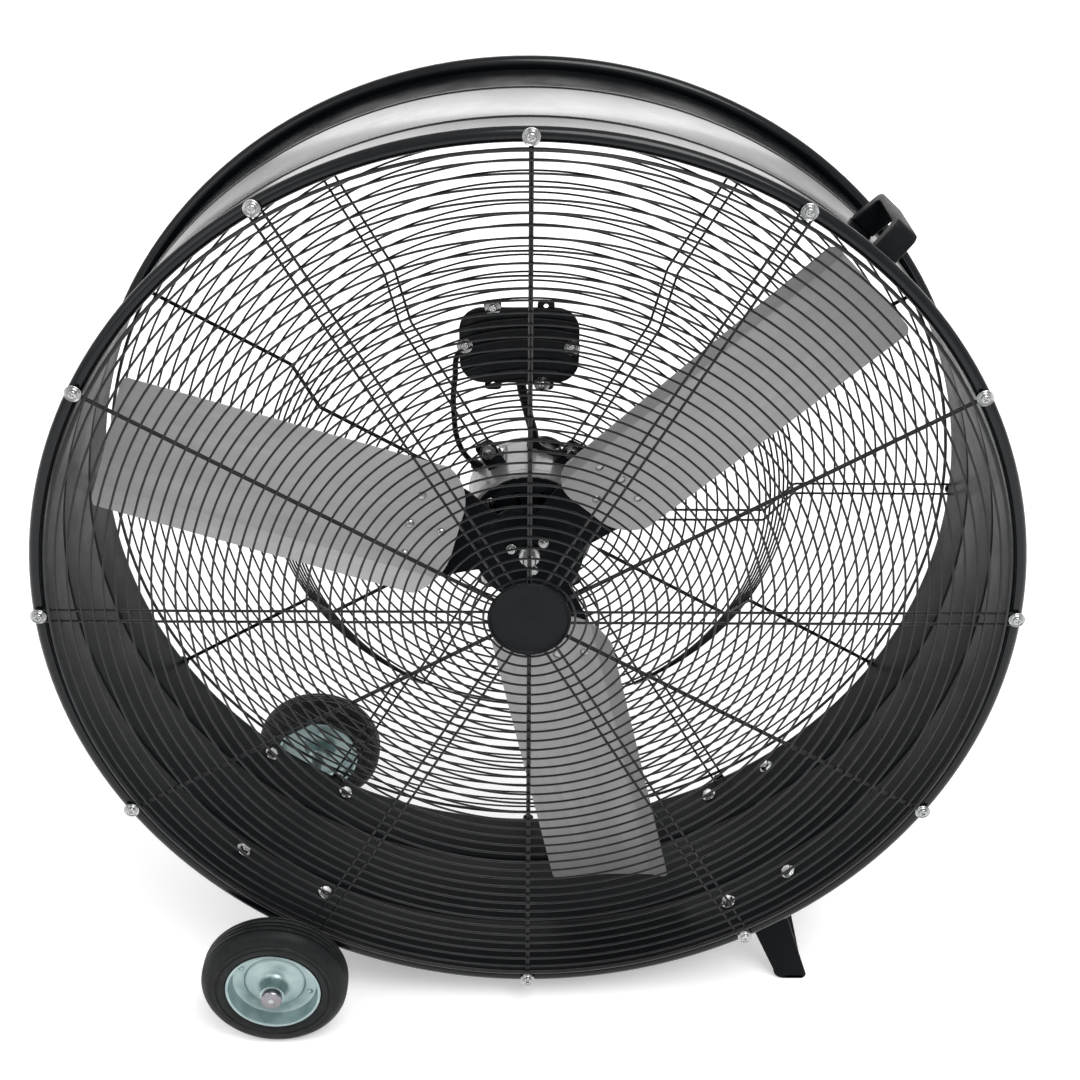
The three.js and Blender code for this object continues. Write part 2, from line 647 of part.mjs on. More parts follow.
/** One pitched arm of the pressed hub, just behind its blade. */
function spiderArm(clock) {
  const start = SPIDER_RADIUS - ARM_LAP;
  const stations = [];
  for (let i = 0; i < SPIDER_STATIONS; i += 1) {
    stations.push(start + ((SPIDER_REACH - start) * i) / (SPIDER_STATIONS - 1));
  }
  const half = (radius) => {
    const fromTip = clamp01((SPIDER_REACH - radius) / ARM_TIP_ROUND);
    const flare = smooth(clamp01((radius - start) / ARM_FLARE));
    const tip = 1 - ARM_TIP_CUT + ARM_TIP_CUT * Math.sqrt(fromTip);
    return THREE.MathUtils.lerp(ARM_ROOT_HALF, SPIDER_WIDTH / 2, flare) * tip;
  };
  const turn = (radius) => smooth(clamp01((radius - start) / (BLADE_ROOT - start)));
  return toClock(sheetBody(stations, SPIDER_CHORDS, SPIDER_SHEET, (radius, u, lift) => sheetPoint(
    radius, u * half(radius), lift + ARM_BEHIND + HUB_DROP * (1 - turn(radius)),
    pitchAt(radius) * turn(radius), BLADE_CAMBER * turn(radius))), clock);
}

function hubSpider() {
  const bore = SHAFT_RADIUS + CLEARANCE;
  const disc = turned(closed([
    [bore, HUB_FRONT],
    [SPIDER_RADIUS, HUB_FRONT],
    [SPIDER_RADIUS, HUB_FRONT + SPIDER_SHEET],
    [BOSS_RADIUS, HUB_FRONT + SPIDER_SHEET],
    [BOSS_NECK, HUB_FRONT + BOSS_DEPTH / 2],
    [BOSS_NECK, HUB_FRONT + BOSS_DEPTH],
    [bore, HUB_FRONT + BOSS_DEPTH],
  ]), SHAFT_SEGMENTS * 2);
  const arms = [];
  for (let i = 0; i < BLADE_COUNT; i += 1) {
    arms.push(spiderArm(BLADE_CLOCK + (FULL_TURN * i) / BLADE_COUNT));
  }
  return skin(joined([disc, ...arms]));
}

/** The plain collar on the shaft in front of the hub. */
function shaftCollar() {
  const back = HUB_FRONT - CLEARANCE;
  const front = back - COLLAR_HEIGHT;
  const bore = SHAFT_RADIUS + CLEARANCE;
  return weld(turned(closed([
    [bore, front],
    [COLLAR_RADIUS - COLLAR_EDGE, front],
    [COLLAR_RADIUS, front + COLLAR_EDGE],
    [COLLAR_RADIUS, back],
    [bore, back],
  ]), SHAFT_SEGMENTS));
}

// ---- control box --------------------------------------------------------------------------
const TABS = [[-1, 1], [1, 1], [-1, -1], [1, -1]];

/** The flanged switch box: front plate with its four tabs, and the case behind it. */
function controlBox() {
  const front = plate(roundedRectangle(BOX_X, BOX_Z, PLATE_WIDTH, PLATE_HEIGHT, PLATE_ROUND),
    PLATE_FRONT, PLATE_FRONT + PLATE_SHEET, BOX_CURVES);
  const tabs = TABS.map(([side, end]) => {
    const x = BOX_X + side * TAB_OFFSET;
    const z = BOX_Z + end * (PLATE_HEIGHT / 2);
    const tab = roundedRectangle(x, z, TAB_WIDTH, 2 * TAB_REACH, TAB_ROUND);
    return plate(tab, PLATE_FRONT, PLATE_FRONT + PLATE_SHEET, TAB_CURVES);
  });
  const holes = TABS.map(([side, end]) => {
    const hole = new THREE.Shape();
    const z = BOX_Z + end * (PLATE_HEIGHT / 2 + TAB_REACH / 4);
    hole.absarc(BOX_X + side * TAB_OFFSET, z, TAB_HOLE, 0, TAU);
    return plate(hole, PLATE_FRONT - OVERCUT, PLATE_FRONT + PLATE_SHEET + OVERCUT, BOX_CURVES);
  });
  const back = plate(roundedRectangle(BOX_X, CASE_Z, CASE_WIDTH, CASE_HEIGHT, CASE_ROUND),
    PLATE_FRONT + PLATE_SHEET - WELD_DEPTH, CASE_BACK, BOX_CURVES);
  return skin(joined([front, back, ...tabs]).subtract(joined(holes)));
}

function boxLid() {
  const [width, height] = [CASE_WIDTH + 2 * LID_LIP, CASE_HEIGHT + 2 * LID_LIP];
  const shape = roundedRectangle(BOX_X, CASE_Z, width, height, CASE_ROUND + LID_LIP);
  const near = CASE_BACK + CLEARANCE;
  return weld(plate(shape, near, near + LID_SHEET, BOX_CURVES));
}

/** The two-speed switch's knob on the lid, a round skirt with a grip bar across it. */
function speedKnob() {
  const base = CASE_BACK + LID_SHEET + 2 * CLEARANCE;
  const skirt = turned([
    [0, base],
    [KNOB_RADIUS, base],
    [KNOB_RADIUS - SKIRT_DRAFT, base + KNOB_HEIGHT / 3],
    [KNOB_RADIUS - SKIRT_SHOULDER, base + KNOB_HEIGHT / 2],
    [0, base + KNOB_HEIGHT / 2],
  ], KNOB_SEGMENTS, KNOB_X, KNOB_Z);
  const length = 2 * KNOB_RADIUS - GRIP_INSET;
  const bar = roundedRectangle(KNOB_X, KNOB_Z, GRIP_WIDTH, length, GRIP_ROUND);
  const grip = plate(bar, base + KNOB_HEIGHT / 3, base + KNOB_HEIGHT, BOX_CURVES);
  return skin(joined([skirt, grip]));
}

/** The gland at the foot of the box where the mains lead comes in. */
function cableGland() {
  const top = CASE_FOOT - CLEARANCE;
  const y = CASE_BACK - CASE_DEPTH / 2;
  const profile = [
    [0, 0],
    [GLAND_RADIUS, 0],
    [GLAND_RADIUS, GLAND_NUT],
    [GLAND_RADIUS - GLAND_SHOULDER, GLAND_NUT + GLAND_STEP],
    [GLAND_RADIUS - GLAND_NECK, GLAND_HEIGHT],
    [0, GLAND_HEIGHT],
  ];
  const body = turned(profile, GLAND_SEGMENTS);
  return weld(body.rotateX(-Math.PI / 2).translate(GLAND_X, y, top));
}

/** A round lead along a smooth way through hand-set points. */
function lead(points, radius, steps, curveSegments) {
  const way = new THREE.CatmullRomCurve3(points.map((point) => new THREE.Vector3(...point)));
  const section = new THREE.Shape();
  section.absarc(0, 0, radius, 0, TAU);
  return weld(new THREE.ExtrudeGeometry(section, {
    extrudePath: way, steps, bevelEnabled: false, curveSegments,
  }));
}

/** The motor's conduit, from the foot of the box to the top of the motor. */
const motorConduit = () => lead([
  [BOX_X, LEAD_Y, CASE_FOOT - LEAD_END],
  [BOX_X, LEAD_Y, CASE_FOOT - LEAD_LEAVE],
  [CONDUIT_BEND[0], LEAD_Y, CONDUIT_BEND[1]],
  [CONDUIT_X, LEAD_Y, MOTOR_RADIUS + LEAD_LEAVE],
  [CONDUIT_X, LEAD_Y, MOTOR_RADIUS + LEAD_END],
], CONDUIT_RADIUS, CONDUIT_STEPS, CONDUIT_CURVES);

/** The thinner lead beside it, from the left of the box to the motor's flank. */
function motorLead() {
  const [outX, outZ] = at(MOTOR_RADIUS + LEAD_LEAVE, LEAD_CLOCK);
  const [endX, endZ] = at(MOTOR_RADIUS + LEAD_END, LEAD_CLOCK);
  return lead([
    [CASE_SIDE - LEAD_END, LEAD_Y, LEAD_Z],
    [CASE_SIDE - LEAD_LEAVE, LEAD_Y, LEAD_Z],
    ...LEAD_BENDS.map(([x, z]) => [x, LEAD_Y, z]),
    [outX, LEAD_Y, outZ],
    [endX, LEAD_Y, endZ],
  ], LEAD_RADIUS, LEAD_STEPS, LEAD_CURVES);
}

// ---- handle -------------------------------------------------------------------------------
/** How far the wall's flats stand out, at most, within a spread either side of a clock angle. */
function wallReach(clock, spread) {
  const step = FULL_TURN / DRUM_SEGMENTS;
  const flats = [clock - spread, clock + spread].map((angle) => Math.floor(angle / step));
  if (flats[0] !== flats[1]) return WALL_OUTER;
  const aside = Math.abs(clock - (flats[0] + 0.5) * step) + spread;
  return (WALL_OUTER * Math.cos(rad(step / 2))) / Math.cos(rad(aside));
}

/** The moulded grip along the drum: two raked legs and the bar between them. */
function handle() {
  const spread = THREE.MathUtils.radToDeg(HANDLE_WIDTH / 2 / WALL_OUTER);
  const foot = wallReach(HANDLE_CLOCK, spread) + CLEARANCE;
  const top = foot + HANDLE_HEIGHT;
  const half = HANDLE_LENGTH / 2;
  const out = half + HANDLE_SPREAD;
  const inner = half - HANDLE_LEG;
  const shape = new THREE.Shape();
  shape.moveTo(-out, foot);
  shape.lineTo(-half, top - HANDLE_ROUND);
  shape.quadraticCurveTo(-half, top, -half + HANDLE_ROUND, top);
  shape.lineTo(half - HANDLE_ROUND, top);
  shape.quadraticCurveTo(half, top, half, top - HANDLE_ROUND);
  shape.lineTo(out, foot);
  shape.lineTo(inner + HANDLE_SPREAD, foot);
  shape.lineTo(inner, top - HANDLE_WEB);
  shape.lineTo(-inner, top - HANDLE_WEB);
  shape.lineTo(-inner - HANDLE_SPREAD, foot);
  const body = upright(shape, HANDLE_WIDTH, 0, HANDLE_BEVEL).translate(0, HANDLE_Y, 0);
  return weld(toClock(body, HANDLE_CLOCK));
}

// ---- wheels -------------------------------------------------------------------------------
function tyre(y) {
  const half = TYRE_WIDTH / 2;
  return weld(turned(closed([
    [TYRE_BORE, y - half + TYRE_BEAD],
    [TYRE_BORE + TYRE_BEAD, y - half],
    [WHEEL_RADIUS - TYRE_SHOULDER, y - half],
    [WHEEL_RADIUS, y - half / 2],
    [WHEEL_RADIUS, y + half / 2],
    [WHEEL_RADIUS - TYRE_SHOULDER, y + half],
    [TYRE_BORE + TYRE_BEAD, y + half],
    [TYRE_BORE, y + half - TYRE_BEAD],
  ]), WHEEL_SEGMENTS, AXLE_X, AXLE_Z));
}

/** The dished pressed hub: rim, stepped web and the tube that runs on the axle. */
function wheelHub(y) {
  const bore = AXLE_RADIUS + RUNNING_FIT;
  const rim = TYRE_BORE - CLEARANCE;
  const half = TYRE_WIDTH / 2;
  return weld(turned(closed([
    [bore, y - HUB_HALF],
    [HUB_TUBE, y - HUB_HALF],
    [HUB_TUBE, y - HUB_ROOT_HALF],
    [HUB_STEP[0], y - HUB_ROOT_HALF],
    [HUB_STEP[1], y - HUB_WEB_HALF],
    [rim - HUB_FLANGE, y - HUB_WEB_HALF],
    [rim - HUB_LIP, y - half],
    [rim, y - half],
    [rim, y + half],
    [rim - HUB_LIP, y + half],
    [rim - HUB_FLANGE, y + HUB_WEB_HALF],
    [HUB_TUBE, y + HUB_ROOT_HALF],
    [HUB_TUBE, y + HUB_HALF],
    [bore, y + HUB_HALF],
  ]), WHEEL_SEGMENTS, AXLE_X, AXLE_Z));
}

function axle() {
  return weld(turned([
    [0, AXLE_FRONT],
    [AXLE_RADIUS - AXLE_CHAMFER, AXLE_FRONT],
    [AXLE_RADIUS, AXLE_FRONT + AXLE_CHAMFER],
    [AXLE_RADIUS, AXLE_BACK - AXLE_CHAMFER],
    [AXLE_RADIUS - AXLE_CHAMFER, AXLE_BACK],
    [0, AXLE_BACK],
  ], AXLE_SEGMENTS, AXLE_X, AXLE_Z));
}

/** The pressed cap over one end of the axle. */
function axleCap(end, way) {
  const near = end + way * CLEARANCE;
  return weld(turned([
    [0, near],
    [CAP_RADIUS, near],
    [CAP_RADIUS, near + (way * CAP_HEIGHT) / 2],
    [CAP_RADIUS / 2, near + way * CAP_HEIGHT],
    [0, near + way * CAP_HEIGHT],
  ], AXLE_SEGMENTS, AXLE_X, AXLE_Z));
}

/** A bracket: web square to the axle with its eye, and the flange bolted to the drum wall. */
function wheelBracket(face, way) {
  const [low, high] = BRACKET_CLOCKS;
  const wall = WALL_OUTER + CLEARANCE;
  const web = new THREE.Shape();
  web.absarc(0, 0, wall, TAU / 4 - rad(low), TAU / 4 - rad(high), true);
  const toAxle = Math.atan2(AXLE_Z, AXLE_X);
  web.absarc(AXLE_X, AXLE_Z, BRACKET_EYE, toAxle - TAU / 4, toAxle + TAU / 4, false);
  pierce(web, AXLE_X, AXLE_Z, AXLE_RADIUS + CLEARANCE, AXLE_SEGMENTS);
  const [a, b] = [face, face + way * BRACKET_SHEET].sort((p, q) => p - q);
  const [c, d] = [face, face + way * BRACKET_FLANGE].sort((p, q) => p - q);
  return skin(joined([
    plate(web, a, b, BRACKET_CURVES),
    plate(wallStrip(BRACKET_CLOCKS, BRACKET_SHEET), c, d, BRACKET_CURVES),
  ]));
}

// ---- foot ---------------------------------------------------------------------------------
/** One leg of the foot: a plate that tapers from the drum wall to the floor. */
function footLeg() {
  const wall = WALL_OUTER + CLEARANCE;
  const middle = FOOT_CLOCKS[0] / 2 + FOOT_CLOCKS[1] / 2;
  const spread = Math.asin(FOOT_TOP_WIDTH / 2 / wall);
  const start = TAU / 4 - rad(middle) + spread;
  const end = TAU / 4 - rad(middle) - spread;
  const low = -FLOOR_DROP;
  const [left, right] = [FOOT_X - FOOT_WIDTH / 2, FOOT_X + FOOT_WIDTH / 2];
  const shape = new THREE.Shape();
  shape.absarc(0, 0, wall, end, start, false);
  shape.lineTo(right, low + FOOT_CORNER);
  shape.quadraticCurveTo(right, low, right - FOOT_CORNER, low);
  shape.lineTo(left + FOOT_HEEL, low);
  shape.quadraticCurveTo(left, low, left, low + FOOT_HEEL);
  return shape;
}

/** The foot: two legs with their wall flanges, and the strap on the floor between them. */
function footStand() {
  const strap = new THREE.Shape();
  const [left, right] = [FOOT_X - FOOT_WIDTH / 2, FOOT_X + FOOT_WIDTH / 2];
  strap.moveTo(left + FOOT_HEEL, -FLOOR_DROP);
  strap.lineTo(right - FOOT_CORNER, -FLOOR_DROP);
  strap.quadraticCurveTo(right, -FLOOR_DROP, right, -FLOOR_DROP + FOOT_CORNER);
  strap.lineTo(left + FOOT_HEEL, -FLOOR_DROP + FOOT_CORNER);
  const flange = () => wallStrip(FOOT_CLOCKS, FOOT_SHEET);
  return skin(joined([
    plate(footLeg(), FOOT_FRONT_Y, FOOT_FRONT_Y + FOOT_SHEET, FOOT_CURVES),
    plate(footLeg(), FOOT_REAR_Y - FOOT_SHEET, FOOT_REAR_Y, FOOT_CURVES),
    plate(strap, FOOT_FRONT_Y, FOOT_REAR_Y, FOOT_CURVES),
    plate(flange(), FOOT_FRONT_Y, FOOT_FRONT_Y + FOOT_FLANGE, FOOT_CURVES),
    plate(flange(), FOOT_REAR_Y - FOOT_FLANGE, FOOT_REAR_Y, FOOT_CURVES),
  ]));
}

// ---- the fan ------------------------------------------------------------------------------
const fan = new THREE.Group();
fan.name = 'drum_fan';

function add(name, geometry, material) {
  const mesh = new THREE.Mesh(geometry, material());
  mesh.name = name;
  fan.add(mesh);
}

add('drum_shell', drumShell(), blackPaint);
add('front_guard', frontGuard(), blackWire);
add('guard_disc', guardDisc(), blackMoulding);
add('rear_guard', rearGuard(), blackWire);
add('motor_shell', motorShell(), motorGrey);
add('motor_bell_front', motorBell(MOTOR_SHOULDER - CLEARANCE, MOTOR_FRONT, true), blackPaint);
add('motor_bell_rear', motorBell(MOTOR_TAIL + CLEARANCE, MOTOR_REAR, false), motorGrey);
MOUNT_CLOCKS.forEach((clock) => add(`motor_mount_${clock}`, motorMount(clock), blackPaint));
add('shaft', shaft(), steel);
add('shaft_collar', shaftCollar(), steel);
add('hub_spider', hubSpider(), blackPaint);
for (let i = 0; i < BLADE_COUNT; i += 1) {
  add(`blade_${i + 1}`, blade(BLADE_CLOCK + (FULL_TURN * i) / BLADE_COUNT), bladeGrey);
}
add('control_box', controlBox(), blackMoulding);
add('box_lid', boxLid(), blackMoulding);
add('speed_knob', speedKnob(), blackMoulding);
add('cable_gland', cableGland(), blackMoulding);
add('motor_conduit', motorConduit(), leadJacket);
add('motor_lead', motorLead(), leadJacket);
add('handle', handle(), blackMoulding);
add('wheel_bracket_front', wheelBracket(BRACKET_FRONT_Y, 1), blackPaint);
add('wheel_bracket_rear', wheelBracket(BRACKET_REAR_Y, -1), blackPaint);
add('axle', axle(), steel);
add('axle_cap_front', axleCap(AXLE_FRONT, -1), blackMoulding);
add('axle_cap_rear', axleCap(AXLE_BACK, 1), blackMoulding);
[['front', WHEEL_FRONT_Y], ['rear', WHEEL_REAR_Y]].forEach(([end, y]) => {
  add(`tyre_${end}`, tyre(y), tyreRubber);
  add(`wheel_hub_${end}`, wheelHub(y), zinc);
});
add('foot_stand', footStand(), blackPaint);

// Stand the fan on the floor, centred over the origin.
const extent = new THREE.Box3().setFromObject(fan);
const centre = extent.getCenter(new THREE.Vector3());
fan.children.forEach((mesh) => {
  mesh.geometry.translate(-centre.x, -centre.y, FLOOR_DROP);
  mesh.geometry.computeVertexNormals();
});

export default fan;
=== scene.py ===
"""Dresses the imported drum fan: paint, guards, blades, motor, box, wheels, and its studio.

Lengths are metres and angles degrees. The fan faces -Y. Places on the drum are given by a
radius from its axis, a clock angle (clockwise from the top, seen from the front) and a depth
behind the front guard's plane.
"""
import logging
import math
from contextlib import contextmanager
from dataclasses import dataclass, field
from enum import Enum
from itertools import pairwise
from typing import Callable, Iterable, Iterator, Sequence

import bmesh
import bpy
from mathutils import Matrix, Vector


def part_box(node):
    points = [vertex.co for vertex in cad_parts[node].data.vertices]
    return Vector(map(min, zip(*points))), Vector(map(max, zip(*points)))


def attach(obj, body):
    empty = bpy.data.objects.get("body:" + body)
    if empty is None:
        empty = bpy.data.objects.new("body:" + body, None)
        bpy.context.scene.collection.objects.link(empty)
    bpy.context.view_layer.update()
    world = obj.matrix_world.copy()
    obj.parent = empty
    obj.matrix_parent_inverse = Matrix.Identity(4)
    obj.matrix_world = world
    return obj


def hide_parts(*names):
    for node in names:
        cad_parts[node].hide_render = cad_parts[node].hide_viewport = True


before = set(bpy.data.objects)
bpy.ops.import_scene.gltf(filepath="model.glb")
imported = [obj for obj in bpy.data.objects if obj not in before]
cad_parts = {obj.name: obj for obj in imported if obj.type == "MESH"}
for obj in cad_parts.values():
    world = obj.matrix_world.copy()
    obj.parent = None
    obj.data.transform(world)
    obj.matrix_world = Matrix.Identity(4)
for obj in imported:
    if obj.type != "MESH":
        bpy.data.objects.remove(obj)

LOG = logging.getLogger("drum_fan")
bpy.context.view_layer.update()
TURN = 2 * math.pi
MILLI = 0.001
MERGE = 1e-5
SMOOTH_ANGLE = math.radians(35)
NEAR_LEVEL = 0.9
BLADES = 3
FIRST_BLADE = 47.5
BORE_SIDES = 48
SIDE = Vector((1.0, 0.0, 0.0))
BACK = Vector((0.0, 1.0, 0.0))
UP = Vector((0.0, 0.0, 1.0))
FRONT = Vector((0.0, -1.0, 0.0))

Piece = bpy.types.Object
Material = bpy.types.Material
Socket = bpy.types.NodeSocket
Edge = bmesh.types.BMEdge
Pairs = Sequence[tuple[float, float]]
Colour = tuple[float, float, float]


class Body(Enum):
    """The moving bodies that pieces ride on."""

    FRAME = "frame"
    ROTOR = "rotor"
    WHEEL_FRONT = "wheel_front"
    WHEEL_REAR = "wheel_rear"
    KNOB = "knob"


class Slot(Enum):
    """The record's material slots."""

    PAINT = "black_paint"
    WIRE = "black_wire"
    MOULDING = "black_moulding"
    BLADE = "blade_grey"
    MOTOR = "motor_grey"
    ZINC = "zinc"
    TYRE = "tyre_rubber"
    STEEL = "steel"
    LEAD = "lead_jacket"


# ---- where things are ----------------------------------------------------------------------
@dataclass(frozen=True)
class Plan:
    """The drum's place, read from the frame."""

    RIM_FACE = 4 * MILLI

    height: float
    datum: float

    @classmethod
    def from_frame(cls) -> "Plan":
        """Reads the drum's box.

        Returns:
            The plan that every piece is placed by.
        """
        low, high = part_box("drum_shell")
        return cls(height=(low.z + high.z) / 2, datum=low.y - cls.RIM_FACE)

    def point(self, radius: float, clock: float, depth: float) -> Vector:
        """Finds a point of the drum.

        Args:
            radius: Distance from the drum's axis.
            clock: Clock angle in degrees.
            depth: Distance behind the front guard's plane.

        Returns:
            The point in the frame.
        """
        angle = math.radians(clock)
        side = radius * math.sin(angle)
        up = radius * math.cos(angle)
        return Vector((side, self.datum + depth, self.height + up))

    def axis_at(self, depth: float) -> Vector:
        """The point of the drum's axis at a depth."""
        return self.point(0.0, 0.0, depth)

    def turned(self, clock: float) -> Matrix:
        """The turn about the drum's axis from the top to a clock angle."""
        centre = Matrix.Translation(self.axis_at(0.0))
        return centre @ Matrix.Rotation(math.radians(clock), 4, "Y") @ centre.inverted()


PLAN = Plan.from_frame()


# ---- the bench: modelling with Blender's own tools -------------------------------------------
class Bench:
    """Adds, shapes and finishes pieces with the tools a modeller uses by hand."""

    @staticmethod
    def clear() -> None:
        """Leaves edit mode and deselects everything."""
        if bpy.context.object and bpy.context.object.mode != "OBJECT":
            bpy.ops.object.mode_set(mode="OBJECT")
        bpy.ops.object.select_all(action="DESELECT")

    @staticmethod
    def alone(piece: Piece) -> None:
        """Selects one piece and makes it active."""
        Bench.clear()
        piece.select_set(True)
        bpy.context.view_layer.objects.active = piece

    @staticmethod
    @contextmanager
    def editing(piece: Piece, kind: str = "VERT") -> Iterator[None]:
        """Opens a piece in edit mode with everything selected.

        Args:
            piece: The piece to shape.
            kind: VERT, EDGE or FACE.

        Yields:
            Nothing, while edit mode is open.
        """
        Bench.alone(piece)
        bpy.ops.object.mode_set(mode="EDIT")
        bpy.ops.mesh.select_mode(type=kind)
        bpy.ops.mesh.select_all(action="SELECT")
        yield
        bpy.ops.object.mode_set(mode="OBJECT")

    @staticmethod
    def pick(piece: Piece, kind: str, test: Callable[[object], bool]) -> int:
        """Selects the elements of a piece in edit mode that pass a test.

        Args:
            piece: The piece being edited.
            kind: VERT, EDGE or FACE.
            test: Says of an element whether it is wanted.

        Returns:
            How many were selected.
        """
        bpy.ops.mesh.select_mode(type=kind)
        bpy.ops.mesh.select_all(action="DESELECT")
        mesh = bmesh.from_edit_mesh(piece.data)
        rows = {"VERT": mesh.verts, "EDGE": mesh.edges, "FACE": mesh.faces}[kind]
        count = 0
        for row in rows:
            wanted = bool(test(row))
            row.select_set(wanted)
            count += wanted
        mesh.select_flush_mode()
        bmesh.update_edit_mesh(piece.data)
        return count

    @staticmethod
    def added(name: str, add: Callable[..., object], **settings: object) -> Piece:
        """Adds a primitive by one of Blender's tools and names it.

        Args:
            name: The piece's name.
            add: The tool.
            **settings: Its settings.

        Returns:
            The piece, at the origin.
        """
        Bench.clear()
        add(**settings)
        return Bench.named(name)

    @staticmethod
    def named(name: str) -> Piece:
        """Names the piece that was just added and puts its place in its mesh.

        Args:
            name: The piece's name.

        Returns:
            The piece, at the origin.
        """
        piece = bpy.context.object
        piece.name = name
        piece.data.name = name
        bpy.ops.object.transform_apply(location=True, rotation=True, scale=True)
        return piece

    @staticmethod
    def smooth(piece: Piece, angle: float = SMOOTH_ANGLE) -> Piece:
        """Shades a piece smooth up to its sharp edges."""
        Bench.alone(piece)
        bpy.ops.object.shade_smooth_by_angle(angle=angle)
        return piece

    @staticmethod
    def outward(piece: Piece) -> None:
        """Merges doubled points and turns the faces outward."""
        with Bench.editing(piece):
            bpy.ops.mesh.remove_doubles(threshold=MERGE)
            bpy.ops.mesh.normals_make_consistent(inside=False)

    @staticmethod
    def modify(piece: Piece, kind: str, **settings: object) -> None:
        """Adds a modifier and applies it.

        Args:
            piece: The piece to change.
            kind: The modifier's type.
            **settings: Its settings.
        """
        Bench.alone(piece)
        modifier = piece.modifiers.new(kind.title(), kind)
        for key, value in settings.items():
            setattr(modifier, key, value)
        bpy.ops.object.modifier_apply(modifier=modifier.name)

    @staticmethod
    def copied(piece: Piece, name: str, place: Matrix) -> Piece:
        """Copies a piece with a mesh of its own.

        Args:
            piece: The piece that is repeated.
            name: The copy's name.
            place: Where the copy goes, from where the piece is.

        Returns:
            The copy.
        """
        twin = piece.copy()
        twin.data = piece.data.copy()
        twin.name = name
        twin.data.name = name
        twin.data.transform(place)
        bpy.context.scene.collection.objects.link(twin)
        return twin

    @staticmethod
    def joined(pieces: Sequence[Piece], name: str) -> Piece:
        """Joins pieces into one.

        Args:
            pieces: What is joined; the first one stays.
            name: The whole piece's name.

        Returns:
            The whole piece.
        """
        Bench.clear()
        for piece in pieces:
            piece.select_set(True)
        bpy.context.view_layer.objects.active = pieces[0]
        bpy.ops.object.join()
        return Bench.named(name)

    @staticmethod
    def turned(name: str, profile: Pairs, at: Vector, segments: int, closed: bool = False) -> Piece:
        """Turns a profile about a line along Y: a circle is extruded and resized.

        Args:
            name: The piece's name.
            profile: Points of radius and distance along Y from `at`.
            at: A point of the line.
            segments: Sides of the round.
            closed: Whether the profile comes back to its start.

        Returns:
            The turned piece.
        """
        Bench.clear()
        steps = [(max(radius, MERGE / 4), along) for radius, along in profile]
        if closed:
            steps.append(steps[0])
        radius, along = steps[0]
        bpy.ops.mesh.primitive_circle_add(
            vertices=segments, radius=radius, rotation=(TURN / 4, 0, 0),
            location=(at.x, at.y + along, at.z))
        piece = Bench.named(name)
        with Bench.editing(piece):
            for (radius, along), (next_radius, next_along) in pairwise(steps):
                Bench.pull(0, next_along - along, 0)
                scale = next_radius / radius
                bpy.ops.transform.resize(value=(scale, 1, scale), center_override=at)
        Bench.outward(piece)
        return Bench.smooth(piece)

    @staticmethod
    def arc(centre: tuple[float, float], radius: float, start: float, end: float,
            steps: int) -> list[tuple[float, float]]:
        """Points of an arc in a profile.

        Args:
            centre: The arc's middle as (radius, along).
            radius: Its radius.
            start: First angle in degrees, from the radius way towards +Y.
            end: Last angle.
            steps: Parts of the arc.

        Returns:
            The points, both ends among them.
        """
        angles = [math.radians(start + (end - start) * i / steps) for i in range(steps + 1)]
        return [(centre[0] + radius * math.cos(a), centre[1] + radius * math.sin(a))
                for a in angles]

    @staticmethod
    def block(name: str, low: Vector, high: Vector) -> Piece:
        """Adds a box between two corners, as a start."""
        Bench.clear()
        bpy.ops.mesh.primitive_cube_add(size=1, location=(low + high) / 2)
        bpy.context.object.scale = high - low
        return Bench.named(name)

    @staticmethod
    def outline(name: str, points: Pairs, near: float, far: float) -> Piece:
        """Draws an outline point by point, fills it and extrudes it along Y.

        Args:
            name: The piece's name.
            points: The outline's corners as (x, z).
            near: Y of its first face.
            far: Y of its last face.

        Returns:
            The plate.
        """
        first = points[0]
        plate = Bench.added(
            name, bpy.ops.mesh.primitive_plane_add, size=MILLI,
            location=(first[0], near, first[1]))
        with Bench.editing(plate):
            bpy.ops.mesh.merge(type="CENTER")
            for before, after in pairwise(points):
                Bench.pull(after[0] - before[0], 0, after[1] - before[1])
            bpy.ops.mesh.select_all(action="SELECT")
            bpy.ops.mesh.edge_face_add()
            Bench.pull(0, far - near, 0)
        Bench.outward(plate)
        return plate

    @staticmethod
    def bored(piece: Piece, at: Vector, radius: float, depth: float) -> None:
        """Bores a round hole along Y.

        Args:
            piece: The piece to bore.
            at: The hole's middle.
            radius: Its radius.
            depth: The cutter's whole length.
        """
        Bench.cut(piece, Bench.added(
            "cutter", bpy.ops.mesh.primitive_cylinder_add, vertices=BORE_SIDES, radius=radius,
            depth=depth, location=at, rotation=(TURN / 4, 0, 0)))

    @staticmethod
    def cut(piece: Piece, cutter: Piece, how: str = "DIFFERENCE") -> None:
        """Cuts a piece with another, or joins or crosses them, and clears the cutter away."""
        Bench.modify(piece, "BOOLEAN", operation=how, object=cutter)
        bpy.data.objects.remove(cutter)

    @staticmethod
    def soften(piece: Piece, width: float, steps: int = 2) -> Piece:
        """Rounds every sharp edge a little and shades the piece smooth."""
        Bench.modify(
            piece, "BEVEL", width=width, segments=steps, limit_method="ANGLE",
            angle_limit=SMOOTH_ANGLE, harden_normals=False)
        return Bench.smooth(piece)

    @staticmethod
    def pull(x: float, y: float, z: float) -> None:
        """Extrudes what is selected along a step."""
        bpy.ops.mesh.extrude_region_move(TRANSFORM_OT_translate={"value": (x, y, z)})

